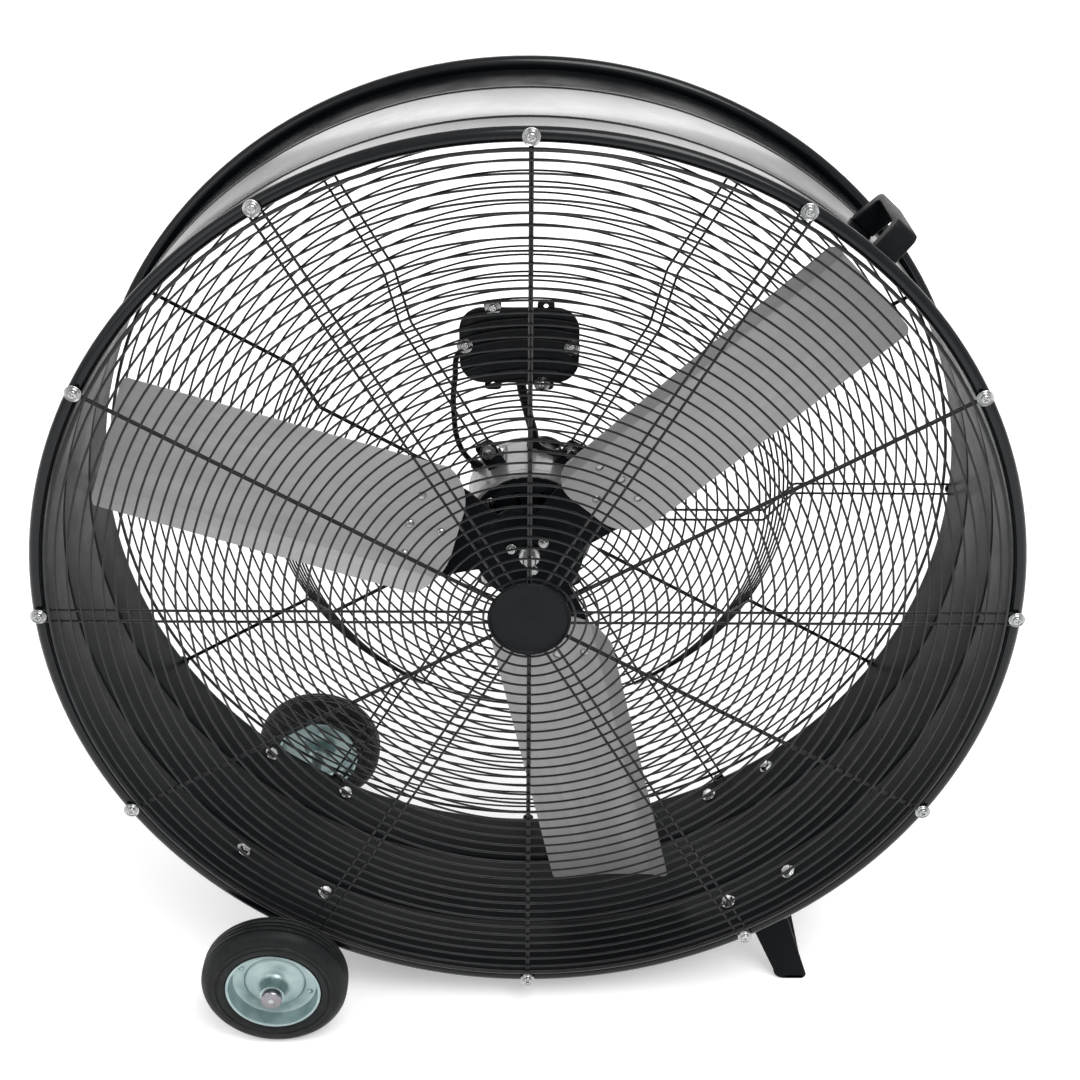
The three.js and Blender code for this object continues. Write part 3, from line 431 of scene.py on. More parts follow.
    @staticmethod
    def bevel(piece: Piece, width: float, steps: int, wanted: Callable[[Edge], bool]) -> None:
        """Bevels the edges of a piece in edit mode that pass a test.

        Args:
            piece: The piece being edited.
            width: The bevel's width.
            steps: Its segments.
            wanted: Says of an edge whether it is rounded.
        """
        Bench.pick(piece, "EDGE", wanted)
        bpy.ops.mesh.bevel(offset=width, segments=steps, affect="EDGES")

    @staticmethod
    def round_corners(piece: Piece, width: float, steps: int) -> None:
        """Bevels the edges of a block that run along Y."""
        with Bench.editing(piece, "EDGE"):
            Bench.bevel(piece, width, steps, lambda edge: abs(
                (edge.verts[1].co - edge.verts[0].co).normalized().y) > NEAR_LEVEL)


class Wire:
    """A round wire that is run out straight and bent, like wire in a jig."""

    def __init__(self, name: str, start: Vector, way: Vector, radius: float, sides: int) -> None:
        """Cuts the wire's first end.

        Args:
            name: The piece's name.
            start: Its first end.
            way: The way it sets out.
            radius: Its radius.
            sides: Sides of its section.
        """
        Bench.clear()
        turn = way.to_track_quat("Z", "Y").to_euler()
        bpy.ops.mesh.primitive_circle_add(
            vertices=sides, radius=radius, fill_type="NGON", location=start, rotation=turn)
        self.piece = Bench.named(name)
        self.at = start.copy()
        self.way = way.normalized()
        bpy.ops.object.mode_set(mode="EDIT")
        bpy.ops.mesh.select_all(action="SELECT")

    def run(self, length: float) -> "Wire":
        """Runs the wire straight on."""
        step = self.way * length
        Bench.pull(*step)
        self.at += step
        return self

    def bend(self, degrees: float, radius: float, axis: Vector, steps: int = 4) -> "Wire":
        """Bends the wire.

        Args:
            degrees: How far, by the right-hand rule about the axis.
            radius: Bend radius at the wire's middle.
            axis: The axis of the bend, square to the wire.
            steps: Parts of the bend.

        Returns:
            The wire, for the next step.
        """
        spin_axis = axis.normalized() * (1 if degrees > 0 else -1)
        angle = math.radians(abs(degrees))
        centre = self.at + spin_axis.cross(self.way) * radius
        bpy.ops.mesh.spin(steps=steps, angle=-angle, center=centre, axis=spin_axis)
        turn = Matrix.Rotation(angle, 3, spin_axis)
        self.at = centre + turn @ (self.at - centre)
        self.way = turn @ self.way
        return self

    def done(self) -> Piece:
        """Cuts the wire off and finishes it."""
        bpy.ops.object.mode_set(mode="OBJECT")
        Bench.outward(self.piece)
        return Bench.smooth(self.piece)


# ---- finishes --------------------------------------------------------------------------------
class Tree:
    """A material's nodes while they are wired: every pattern lies on object coordinates."""

    MIX_LOWER = 6
    MIX_UPPER = 7
    MIX_COLOUR = 2

    def __init__(self, name: str) -> None:
        """Starts a material with its shader and its coordinates."""
        self.material = bpy.data.materials.new(name)
        self.material.use_nodes = True
        self.nodes = self.material.node_tree.nodes
        self.shader = self.nodes["Principled BSDF"]
        self.place = self.nodes.new("ShaderNodeTexCoord").outputs["Object"]

    def link(self, source: Socket, target: Socket) -> None:
        """Joins two sockets."""
        self.material.node_tree.links.new(source, target)

    def stretched(self, layer: str, scale: tuple[float, float, float]) -> Socket:
        """A piece's own map, stretched per axis."""
        lay = self.nodes.new("ShaderNodeUVMap")
        lay.uv_map = layer
        mapping = self.nodes.new("ShaderNodeMapping")
        mapping.inputs["Scale"].default_value = scale
        self.link(lay.outputs["UV"], mapping.inputs["Vector"])
        return mapping.outputs["Vector"]

    def noise(
        self, scale: float, detail: float = 3.0, rough: float = 0.55,
        place: Socket | None = None,
    ) -> Socket:
        """Adds noise.

        Args:
            scale: Grains per metre.
            detail: Octaves.
            rough: Roughness of the octaves.
            place: Coordinates, or None for the object's own.

        Returns:
            The noise's value.
        """
        node = self.nodes.new("ShaderNodeTexNoise")
        node.inputs["Scale"].default_value = scale
        node.inputs["Detail"].default_value = detail
        node.inputs["Roughness"].default_value = rough
        self.link(place or self.place, node.inputs["Vector"])
        return node.outputs["Fac"]

    def ramped(
        self, value: Socket, low: float, high: float, out_low: float = 0.0, out_high: float = 1.0,
    ) -> Socket:
        """Maps a range of a value onto another, clamped.

        Args:
            value: What is mapped.
            low: Start of its range.
            high: End of its range.
            out_low: What the start gives.
            out_high: What the end gives.

        Returns:
            The mapped value.
        """
        node = self.nodes.new("ShaderNodeMapRange")
        settings = {"From Min": low, "From Max": high, "To Min": out_low, "To Max": out_high}
        for key, number in settings.items():
            node.inputs[key].default_value = number
        self.link(value, node.inputs["Value"])
        return node.outputs["Result"]

    def product(self, first: Socket, second: Socket) -> Socket:
        """Multiplies two values."""
        node = self.nodes.new("ShaderNodeMath")
        node.operation = "MULTIPLY"
        self.link(first, node.inputs[0])
        self.link(second, node.inputs[1])
        return node.outputs["Value"]

    def mixed(self, share: Socket, base: Colour | Socket, top: Colour) -> Socket:
        """Mixes a colour over another.

        Args:
            share: How much of the upper colour shows.
            base: The lower colour, or a socket that gives it.
            top: The upper colour.

        Returns:
            The mixed colour.
        """
        node = self.nodes.new("ShaderNodeMix")
        node.data_type = "RGBA"
        self.link(share, node.inputs["Factor"])
        if isinstance(base, tuple):
            node.inputs[self.MIX_LOWER].default_value = (*base, 1.0)
        else:
            self.link(base, node.inputs[self.MIX_LOWER])
        node.inputs[self.MIX_UPPER].default_value = (*top, 1.0)
        return node.outputs[self.MIX_COLOUR]

    def edges(self, low: float = 0.53, high: float = 0.62) -> Socket:
        """The share of wear on sharp edges, broken up by noise."""
        geometry = self.nodes.new("ShaderNodeNewGeometry")
        sharp = self.ramped(geometry.outputs["Pointiness"], low, high)
        broken = self.ramped(self.noise(90.0, 4.0), 0.42, 0.62)
        return self.product(sharp, broken)

    def upward(self) -> Socket:
        """The share of dust on faces that look up."""
        geometry = self.nodes.new("ShaderNodeNewGeometry")
        split = self.nodes.new("ShaderNodeSeparateXYZ")
        self.link(geometry.outputs["Normal"], split.inputs["Vector"])
        lying = self.ramped(split.outputs["Z"], 0.35, 1.0)
        patchy = self.ramped(self.noise(7.0, 5.0), 0.35, 0.75)
        return self.product(lying, patchy)

    def relief(self, height: Socket, strength: float, depth: float) -> None:
        """Bumps the surface.

        Args:
            height: The relief's height, 0 to 1.
            strength: How strongly it shows.
            depth: Its depth in metres.
        """
        node = self.nodes.new("ShaderNodeBump")
        node.inputs["Strength"].default_value = strength
        node.inputs["Distance"].default_value = depth
        self.link(height, node.inputs["Height"])
        before = self.shader.inputs["Normal"]
        if before.is_linked:
            self.link(before.links[0].from_socket, node.inputs["Normal"])
        self.link(node.outputs["Normal"], before)

    def colour(self, value: Socket) -> None:
        """Sets the base colour."""
        self.link(value, self.shader.inputs["Base Color"])

    def roughness(self, value: Socket) -> None:
        """Sets the roughness."""
        self.link(value, self.shader.inputs["Roughness"])

    def glow(self, strength: float) -> None:
        """Adds a white glow that only the camera, mirrors and glass see."""
        path = self.nodes.new("ShaderNodeLightPath")
        seen = path.outputs["Is Camera Ray"]
        for name in ("Is Glossy Ray", "Is Transmission Ray"):
            both = self.nodes.new("ShaderNodeMath")
            both.operation = "MAXIMUM"
            self.link(seen, both.inputs[0])
            self.link(path.outputs[name], both.inputs[1])
            seen = both.outputs[0]
        self.shader.inputs["Emission Color"].default_value = (1.0, 1.0, 1.0, 1.0)
        share = self.ramped(seen, 0.0, 1.0, 0.0, strength)
        self.link(share, self.shader.inputs["Emission Strength"])

    def constant(self, **sockets: float) -> "Tree":
        """Sets sockets that are the same all over; underscores stand for spaces."""
        for key, number in sockets.items():
            self.shader.inputs[key.replace("_", " ")].default_value = number
        return self


@dataclass(frozen=True)
class Paint:
    """Sprayed or powder-coated paint: slight orange peel, dust on top, thin edges."""

    name: str
    body: Colour
    worn: Colour
    dust: Colour = (0.17, 0.16, 0.145)
    gloss: tuple[float, float] = (0.16, 0.26)
    peel: float = 420.0
    peel_strength: float = 0.05
    dust_share: float = 0.05
    coat: float = 0.12
    specular: float = 0.24

    def material(self) -> Material:
        """Wires the paint."""
        tree = Tree(self.name)
        cloud = tree.ramped(tree.noise(5.0, 4.0), 0.35, 0.7, 0.0, 0.35)
        tinted = tree.mixed(cloud, self.body, tuple(1.6 * part for part in self.body))
        worn = tree.mixed(tree.edges(), tinted, self.worn)
        share = tree.ramped(tree.upward(), 0.0, 1.0, 0.0, self.dust_share)
        tree.colour(tree.mixed(share, worn, self.dust))
        tree.roughness(tree.ramped(tree.noise(14.0, 6.0, 0.65), 0.3, 0.7, *self.gloss))
        tree.relief(tree.noise(self.peel, 2.0), self.peel_strength, 0.4 * MILLI)
        tree.relief(tree.noise(9.0, 2.0), 0.05, 2 * MILLI)
        tree.constant(Coat_Weight=self.coat, Coat_Roughness=0.08, Specular_IOR_Level=self.specular)
        return tree.material


@dataclass(frozen=True)
class Moulding:
    """Moulded plastic: fine grain, rubbed edges."""

    name: str
    body: Colour
    rubbed: Colour
    gloss: tuple[float, float] = (0.38, 0.55)
    grain: float = 1400.0
    grain_strength: float = 0.22

    def material(self) -> Material:
        """Wires the plastic."""
        tree = Tree(self.name)
        cloud = tree.ramped(tree.noise(18.0, 4.0), 0.35, 0.7, 0.0, 0.4)
        tinted = tree.mixed(cloud, self.body, tuple(1.8 * part for part in self.body))
        rubbed = tree.mixed(tree.edges(0.52, 0.6), tinted, self.rubbed)
        share = tree.ramped(tree.upward(), 0.0, 1.0, 0.0, 0.05)
        tree.colour(tree.mixed(share, rubbed, (0.17, 0.16, 0.145)))
        tree.roughness(tree.ramped(tree.noise(45.0, 4.0), 0.3, 0.7, *self.gloss))
        tree.relief(tree.noise(self.grain, 3.0), self.grain_strength, 0.25 * MILLI)
        tree.constant(Specular_IOR_Level=0.16)
        return tree.material


@dataclass(frozen=True)
class BladeSheet:
    """Rolled aluminium sheet: grain along the blade, clouding and faint scuffs."""

    name: str
    body: Colour
    cloud: Colour
    uv: str = "along"
    grain: tuple[float, float, float] = (900.0, 9.0, 1.0)
    streaks: tuple[float, float, float] = (70.0, 4.0, 1.0)

    def material(self) -> Material:
        """Wires the sheet; its grain lies on the blade's own map."""
        tree = Tree(self.name)
        grain = tree.noise(1.0, 3.0, 0.6, tree.stretched(self.uv, self.grain))
        streak = tree.noise(1.0, 4.0, 0.6, tree.stretched(self.uv, self.streaks))
        tone = tree.ramped(streak, 0.3, 0.7, 0.0, 0.55)
        clouded = tree.mixed(tone, self.body, self.cloud)
        share = tree.ramped(tree.noise(11.0, 6.0, 0.7), 0.52, 0.72, 0.0, 0.3)
        tree.colour(tree.mixed(share, clouded, tuple(0.72 * part for part in self.body)))
        tree.roughness(tree.ramped(grain, 0.25, 0.75, 0.36, 0.52))
        tree.relief(grain, 0.06, 0.2 * MILLI)
        tree.relief(tree.noise(6.0, 2.0), 0.06, 4 * MILLI)
        tree.constant(Metallic=0.35, Anisotropic=0.3)
        return tree.material


@dataclass(frozen=True)
class Metal:
    """Bare or plated metal: clouded colour, small scratches and tarnish."""

    name: str
    body: Colour
    cloud: Colour
    tarnish: Colour
    gloss: tuple[float, float] = (0.22, 0.4)
    metallic: float = 1.0
    scale: float = 60.0

    def material(self) -> Material:
        """Wires the metal."""
        tree = Tree(self.name)
        share = tree.ramped(tree.noise(self.scale, 5.0, 0.6), 0.35, 0.68)
        clouded = tree.mixed(share, self.body, self.cloud)
        spots = tree.ramped(tree.noise(4 * self.scale, 4.0, 0.7), 0.6, 0.78, 0.0, 0.6)
        tree.colour(tree.mixed(spots, clouded, self.tarnish))
        tree.roughness(tree.ramped(tree.noise(2 * self.scale, 5.0), 0.3, 0.7, *self.gloss))
        tree.relief(tree.noise(900.0, 2.0), 0.08, 0.15 * MILLI)
        tree.constant(Metallic=self.metallic)
        return tree.material


@dataclass(frozen=True)
class Rubber:
    """Black rubber: dull, greyed where it rolls, dust in its grain."""

    name: str
    body: Colour
    greyed: Colour
    gloss: tuple[float, float] = (0.62, 0.85)

    def material(self) -> Material:
        """Wires the rubber."""
        tree = Tree(self.name)
        share = tree.ramped(tree.noise(26.0, 6.0, 0.65), 0.38, 0.72, 0.0, 0.8)
        clouded = tree.mixed(share, self.body, self.greyed)
        worn = tree.mixed(tree.edges(0.51, 0.58), clouded, tuple(1.7 * p for p in self.greyed))
        tree.colour(worn)
        tree.roughness(tree.ramped(tree.noise(60.0, 4.0), 0.3, 0.7, *self.gloss))
        tree.relief(tree.noise(1100.0, 3.0), 0.25, 0.3 * MILLI)
        tree.constant(Specular_IOR_Level=0.2)
        return tree.material


class Finishes:
    """Every finish of the fan, made once."""

    def __init__(self) -> None:
        """Wires all of them."""
        black = (0.0026, 0.0034, 0.0046)
        worn = (0.02, 0.022, 0.025)
        self.paint = Paint("drum_paint", black, worn).material()
        # A duller copy of the black paint, with weak reflection and no coat: painted shade for the
        # drum's inside faces. The hub, the front bell, the brackets and the foot use it too.
        self.inside = Paint(
            "shaded_inner_paint", (0.003, 0.0039, 0.0048), worn, gloss=(0.28, 0.42), coat=0.0,
            specular=0.05, dust_share=0.02).material()
        self.wire = Paint(
            "guard_powder_coat", black, (0.02, 0.02, 0.022), gloss=(0.26, 0.38),
            peel=900.0, peel_strength=0.12, coat=0.0, specular=0.38, dust_share=0.04).material()
        self.moulding = Moulding("moulded_black", black, (0.012, 0.012, 0.012)).material()
        self.blade = BladeSheet("blade_sheet", (0.36, 0.355, 0.36), (0.47, 0.46, 0.465)).material()
        self.motor = Paint(
            "motor_enamel", (0.22, 0.216, 0.212), (0.17, 0.162, 0.155), dust=(0.21, 0.2, 0.19),
            gloss=(0.28, 0.42), coat=0.15, specular=0.5).material()
        self.zinc = Metal(
            "zinc_plate", (0.31, 0.4, 0.405), (0.44, 0.53, 0.53), (0.2, 0.26, 0.25),
            gloss=(0.34, 0.5)).material()
        self.steel = Metal(
            "bright_steel", (0.36, 0.365, 0.37), (0.52, 0.52, 0.52), (0.16, 0.155, 0.15),
            gloss=(0.16, 0.28)).material()
        self.washer = Metal(
            "washer_zinc", (0.36, 0.365, 0.37), (0.5, 0.505, 0.505), (0.2, 0.2, 0.195),
            gloss=(0.18, 0.32)).material()
        self.cap = Metal(
            "cap_steel", (0.2, 0.195, 0.21), (0.3, 0.29, 0.31), (0.1, 0.095, 0.1),
            gloss=(0.2, 0.32)).material()
        self.tyre = Rubber(
            "tyre_rubber", (0.0034, 0.004, 0.0046), (0.009, 0.0098, 0.0104),
            gloss=(0.42, 0.6)).material()
        self.jacket = Rubber(
            "lead_jacket", (0.003, 0.0033, 0.004), (0.008, 0.008, 0.009),
            gloss=(0.36, 0.5)).material()
        self.mark = Moulding("dial_white", (0.62, 0.62, 0.6), (0.5, 0.5, 0.48)).material()


@dataclass
class Workshop:
    """What every sub-assembly works with."""

    plan: Plan
    finishes: Finishes
    made: list[str] = field(default_factory=list)

    def dress(self, piece: Piece, body: Body, slot: Slot, finish: Material, *nodes: str) -> Piece:
        """Gives a piece its finish, its body and the nodes that it stands for.

        Args:
            piece: The piece.
            body: The body that it rides on.
            slot: The record's material slot; not used.
            finish: Its material.
            *nodes: CAD nodes that it replaces.

        Returns:
            The dressed piece.
        """
        if not piece.data.materials:
            piece.data.materials.append(finish)
        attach(piece, body.value)
        if nodes:
            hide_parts(*nodes)
        self.made.append(piece.name)
        LOG.info("%s rides on %s", piece.name, body.value)
        return piece

    def repeat(
        self, pattern: Piece, places: Iterable[tuple[str, Matrix]], body: Body = Body.FRAME,
        slot: Slot = Slot.STEEL,
    ) -> None:
        """Copies a finished pattern to its places and clears the pattern away.

        Args:
            pattern: The piece that is repeated.
            places: Each copy's name and place.
            body: The body that the copies ride on.
            slot: Their material slot.
        """
        for name, place in places:
            self.dress(Bench.copied(pattern, name, place), body, slot, self.finishes.steel)
        bpy.data.objects.remove(pattern)


# ---- fasteners -------------------------------------------------------------------------------
class Head(Enum):
    """The kinds of screw heads on the fan."""

    PAN = "pan"
    HEX = "hex"
    RIVET = "rivet"


@dataclass
class Fastener:
    """A screw, bolt or rivet with its washer, facing -Y from its seat at y = 0."""

    head: Head
    radius: float
    height: float
    washer: float = 0.0
    washer_sheet: float = 1.6 * MILLI
    segments: int = 32
    recess: float = 0.24
    cupped: bool = False

    def _pan(self) -> Piece:
        """Models a pan head and cuts its cross recess."""
        foot = -self.washer_sheet if self.washer else 0.0
        top = foot - self.height
        round_start = foot - 0.35 * self.height
        profile = [(self.radius, foot), (self.radius, round_start)]
        profile += Bench.arc(
            (0.45 * self.radius, round_start), 0.55 * self.radius, 0.0, -90.0, 6)[1:]
        squash = (top - round_start) / (-0.55 * self.radius)
        profile = [(r, foot + (a - foot) if a >= round_start else
                    round_start + (a - round_start) * squash) for r, a in profile]
        profile.append((0.0, top))
        head = Bench.turned("head", profile, Vector(), self.segments)
        slot = self.recess * self.radius
        for turn in (0.0, TURN / 4):
            Bench.cut(head, Bench.added(
                "cutter", bpy.ops.mesh.primitive_cube_add, size=1, location=(0, top, 0),
                rotation=(0, turn + TURN / 16, 0),
                scale=(1.15 * self.radius, 1.1 * self.height, slot)))
        return head

    def _hex(self) -> Piece:
        """Models a hexagon head with a chamfered face."""
        foot = -self.washer_sheet if self.washer else 0.0
        head = Bench.added(
            "head", bpy.ops.mesh.primitive_cylinder_add, vertices=6, radius=self.radius,
            depth=self.height, location=(0, foot - self.height / 2, 0), rotation=(TURN / 4, 0, 0))
        top = foot - self.height

        def outer(edge: Edge) -> bool:
            return all(vert.co.y < top + MERGE for vert in edge.verts)

        with Bench.editing(head, "EDGE"):
            Bench.bevel(head, 0.14 * self.radius, 3, outer)
        return Bench.smooth(head)

    def _rivet(self) -> Piece:
        """Models a domed rivet head."""
        rise = self.height / self.radius
        profile = [(r, a * rise) for r, a in Bench.arc((0.0, 0.0), self.radius, 0.0, -90.0, 8)]
        return Bench.turned("head", [(self.radius, 0.2 * MILLI), *profile], Vector(), self.segments)

    def model(self, name: str, metal: Material, under: Material) -> Piece:
        """Models the fastener.

        Args:
            name: Its name.
            metal: Finish of the head.
            under: Finish of the washer.

        Returns:
            The fastener, at the origin.
        """
        made = {Head.PAN: self._pan, Head.HEX: self._hex, Head.RIVET: self._rivet}
        head = made[self.head]()
        head.data.materials.append(metal)
        parts = [head]
        if self.washer:
            soft = 0.3 * MILLI
            bore = 0.3 * self.radius
            full = self.washer
            top = -self.washer_sheet
            rows = [(bore, 0.0), (full - soft, 0.0), (full, -soft), (full, top + soft),
                    (full - soft, top)]
            if self.cupped:
                rows += [(0.88 * full, top + soft), (0.8 * full, 0.45 * top),
                         (0.72 * full, 0.4 * top), (0.62 * full, top)]
            rows.append((bore, top))
            washer = Bench.turned("washer", rows, Vector(), self.segments, closed=True)
            washer.data.materials.append(under)
            parts.append(washer)
        return Bench.joined(parts, name)

    @staticmethod
    def seat(at: Vector, facing: Vector, twist: float = 0.0) -> Matrix:
        """The placing of a fastener on a surface.

        Args:
            at: The seat's middle.
            facing: The way that its head looks.
            twist: Turn about its own axis, in degrees.

        Returns:
            The matrix to copy it with.
        """
        swing = FRONT.rotation_difference(facing.normalized()).to_matrix().to_4x4()
        own = Matrix.Rotation(math.radians(twist), 4, "Y")
        return Matrix.Translation(at) @ swing @ own


# ---- drum ------------------------------------------------------------------------------------
@dataclass
class Drum:
    """The rolled sheet drum with its wired rims and its two pressed beads."""

    bore: float = 533.5 * MILLI
    sheet: float = 2 * MILLI
    tube: float = 8 * MILLI
    front: float = 12 * MILLI
    rear: float = 299 * MILLI
    bead_height: float = 1.5 * MILLI
    bead_half: float = 5 * MILLI
    bead_inset: float = 85 * MILLI
    bead_steps: int = 8
    roll_steps: int = 14
    segments: int = 192

    def _bead(self, radius: float, depth: float) -> list[tuple[float, float]]:
        """The points of one bead, met along +Y."""
        points = []
        for i in range(self.bead_steps + 1):
            share = 2 * i / self.bead_steps - 1
            rise = self.bead_height * (0.5 + 0.5 * math.cos(math.pi * share))
            points.append((radius + rise, depth + share * self.bead_half))
        return points

    def _profile(self) -> list[tuple[float, float]]:
        """The section of the drum wall, both rims and beads, as one loop."""
        outer = self.bore + self.sheet
        rim = self.bore + self.tube
        beads = (self.front + self.bead_inset, self.rear - self.bead_inset)
        meet = math.degrees(math.acos((outer - rim) / self.tube))
        inside = [point for depth in beads for point in self._bead(self.bore, depth)]
        outside = [point for depth in beads for point in self._bead(outer, depth)]
        back = Bench.arc((rim, self.rear), self.tube, 180.0, -meet, self.roll_steps)
        front = Bench.arc((rim, self.front), self.tube, meet, -180.0, self.roll_steps)
        return [*inside, *back, *reversed(outside), *front]

    def build(self, shop: Workshop) -> None:
        """Turns the drum and dresses it."""
        axis = shop.plan.axis_at(0.0)
        shell = Bench.turned("drum_wall", self._profile(), axis, self.segments, closed=True)
        shell.data.materials.append(shop.finishes.paint)
        shell.data.materials.append(shop.finishes.inside)
        near, far = (axis.y + depth for depth in (self.front, self.rear))

        def inner(face: bmesh.types.BMFace) -> bool:
            way = face.calc_center_median() - axis
            way.y = 0.0
            inward = face.normal.dot(way) < 0.0 and way.length < self.bore + self.tube
            return inward and near < face.calc_center_median().y < far

        # The inside faces take the duller black paint, whose weak reflection is painted shade
        # inside the drum.
        with Bench.editing(shell, "FACE"):
            Bench.pick(shell, "FACE", inner)
            shell.active_material_index = 1
            bpy.ops.object.material_slot_assign()
        shop.dress(shell, Body.FRAME, Slot.PAINT, shop.finishes.paint, "drum_shell")


# ---- guards ----------------------------------------------------------------------------------
@dataclass
class Guard:
    """What both guards share: rings of thin wire on single and paired spokes."""

    name: str
    depth: float
    rings_in_front: bool
    wire: float = 1.25 * MILLI
    ring_wire: float = 1.3 * MILLI
    first: float = 50.9 * MILLI
    pitch: float = 13 * MILLI
    count: int = 37
    outer: float = 529 * MILLI
    outer_wire: float = 2.1 * MILLI
    screws: float = 541.5 * MILLI
    pair_wire: float = 1.55 * MILLI
    pair_half: float = 7 * MILLI
    eye: float = 4.9 * MILLI
    eye_neck: float = 5 * MILLI
    places: int = 12
    weld: float = 0.45 * MILLI
    segments: int = 168
    sides: int = 8

    @property
    def lift(self) -> float:
        """How far the rings' middles stand off the spokes' middles."""
        reach = self.wire + self.ring_wire - self.weld
        return -reach if self.rings_in_front else reach

    def ring_places(self) -> list[tuple[float, float, float]]:
        """Radius, depth and wire radius of every ring."""
        rows = [(self.first + i * self.pitch, self.depth + self.lift, self.ring_wire)
                for i in range(self.count)]
        return [*rows, (self.outer, self.depth + self.lift, self.outer_wire)]

    def _rings(self, plan: Plan) -> Piece:
        """Runs every ring's wire once round the drum's axis."""
        Bench.clear()
        sections = []
        for radius, depth, wire in self.ring_places():
            bpy.ops.mesh.primitive_circle_add(
                vertices=self.sides, radius=wire, location=plan.point(radius, 90.0, depth))
            sections.append(Bench.named("section"))
        rings = Bench.joined(sections, "rings")
        with Bench.editing(rings):
            bpy.ops.mesh.spin(
                steps=self.segments, angle=TURN, center=plan.axis_at(0.0), axis=(0, 1, 0))
        Bench.outward(rings)
        return Bench.smooth(rings)

    def start(self, wire: Wire) -> Wire:
        """Leaves a spoke as it is before it runs out to the rim; the rear guard bends it here."""
        return wire

    def back(self, wire: Wire) -> Wire:
        """Leaves it as it is after it comes back; the rear guard bends it here."""
        return wire

    def inner_end(self) -> tuple[float, float]:
        """Radius and depth of a spoke's inner end."""
        return (30 * MILLI, self.depth)

    def _spoke(self, plan: Plan, paired: bool) -> Piece:
        """Bends one spoke at the top of the drum: out, round its screw and back."""
        radius, depth = self.inner_end()
        aside = self.pair_half if paired else self.wire
        neck = self.eye_neck + aside
        reach = self.eye_neck + self.eye
        turn = 0.0 if paired else math.degrees(math.acos(neck / reach))
        drop = 0.0 if paired else math.sqrt(reach ** 2 - neck ** 2)
        start = plan.point(radius, 0.0, depth) - Vector((aside, 0.0, 0.0))
        gauge = self.pair_wire if paired else self.wire
        wire = Wire("spoke", start, UP, gauge, self.sides)
        self.start(wire)
        edge = plan.height + self.screws - drop
        wire.run(edge - wire.at.z)
        if paired:
            wire.bend(180.0, self.pair_half, BACK, 12)
        else:
            wire.bend(-turn, self.eye_neck, BACK, 4)
            wire.bend(180.0 + 2 * turn, self.eye, BACK, 16)
            wire.bend(-turn, self.eye_neck, BACK, 4)
        self.back(wire)
        wire.run(wire.at.z - start.z)
        return wire.done()

    def build(self, shop: Workshop) -> None:
        """Bends and joins the whole guard."""
        plan = shop.plan
        parts = [self._rings(plan)]
        for paired in (False, True):
            spoke = self._spoke(plan, paired)
            for place in range(int(paired), self.places, 2):
                clock = place * 360 / self.places
                parts.append(Bench.copied(spoke, "spoke_copy", plan.turned(clock)))
            bpy.data.objects.remove(spoke)
        whole = Bench.joined(parts, f"{self.name}_wires")
        shop.dress(whole, Body.FRAME, Slot.WIRE, shop.finishes.wire, self.name)


@dataclass
class RearGuard(Guard):
    """The rear guard, whose inner part is stepped forward on a cone."""

    step_outer: float = 338 * MILLI
    step_inner: float = 290 * MILLI
    step_depth: float = 238 * MILLI
    hole: float = 99 * MILLI
    screws: float = 539.5 * MILLI
    corner: float = 6 * MILLI
    cone_rings: int = 7

    @property
    def slope(self) -> float:
        """The cone's angle off the radius, in degrees."""
        rise = self.depth - self.step_depth
        return math.degrees(math.atan2(rise, self.step_outer - self.step_inner))

    def ring_places(self) -> list[tuple[float, float, float]]:
        """Radius, depth and wire radius of every ring; the cone has its own, closer ones."""
        rows = []
        for radius, depth, wire in super().ring_places():
            if radius >= self.step_outer:
                rows.append((radius, depth, wire))
            elif self.hole <= radius <= self.step_inner:
                rows.append((radius, self.step_depth + self.lift, wire))
        width = self.step_outer - self.step_inner
        lift = self.lift / math.cos(math.radians(self.slope))
        for i in range(self.cone_rings):
            share = (i + 0.5) / self.cone_rings
            depth = self.step_depth + share * (self.depth - self.step_depth) + lift
            rows.append((self.step_inner + share * width, depth, self.ring_wire))
        return rows

    def inner_end(self) -> tuple[float, float]:
        """Radius and depth of a spoke's inner end."""
        return (self.hole, self.step_depth)

    def _trim(self) -> tuple[float, float]:
        """How much each bend takes off, and the cone's straight length."""
        trim = self.corner * math.tan(math.radians(self.slope) / 2)
        rise = self.depth - self.step_depth
        length = math.hypot(rise, self.step_outer - self.step_inner)
        return trim, length - 2 * trim

    def start(self, wire: Wire) -> Wire:
        """Runs a spoke out over the cone."""
        trim, length = self._trim()
        wire.run(self.step_inner - self.hole - trim)
        wire.bend(-self.slope, self.corner, SIDE, 5).run(length)
        return wire.bend(self.slope, self.corner, SIDE, 5)

    def back(self, wire: Wire) -> Wire:
        """Runs it back down the cone."""
        trim, length = self._trim()
        wire.run(wire.at.z - PLAN.height - self.step_outer - trim)
        wire.bend(-self.slope, self.corner, SIDE, 5).run(length)
        return wire.bend(self.slope, self.corner, SIDE, 5)


@dataclass
class GuardDisc:
    """The plain black disc over the middle of the front guard."""

    radius: float = 46.5 * MILLI
    back: float = 0.9 * MILLI
    height: float = 5 * MILLI
    roll: float = 2.5 * MILLI
    face: float = 1.7 * MILLI
    segments: int = 96

    def build(self, shop: Workshop) -> None:
        """Turns the disc with its rolled edge and slightly domed face."""
        ring = self.radius - self.roll
        middle = self.back - self.roll
        profile = [(0.0, self.back), (ring, self.back)]
        profile += Bench.arc((ring, middle), self.roll, 90.0, -90.0, 12)
        foot = self.back - self.face
        profile += Bench.arc((ring - self.roll, foot - 1.5 * MILLI), 1.6 * MILLI, 0.0, 90.0, 4)[1:]
        profile += [(0.5 * self.radius, foot - 0.4 * MILLI), (0.0, foot - 0.7 * MILLI)]
        disc = Bench.turned("centre_disc", profile, shop.plan.axis_at(0.0), self.segments)
        shop.dress(disc, Body.FRAME, Slot.MOULDING, shop.finishes.moulding, "guard_disc")


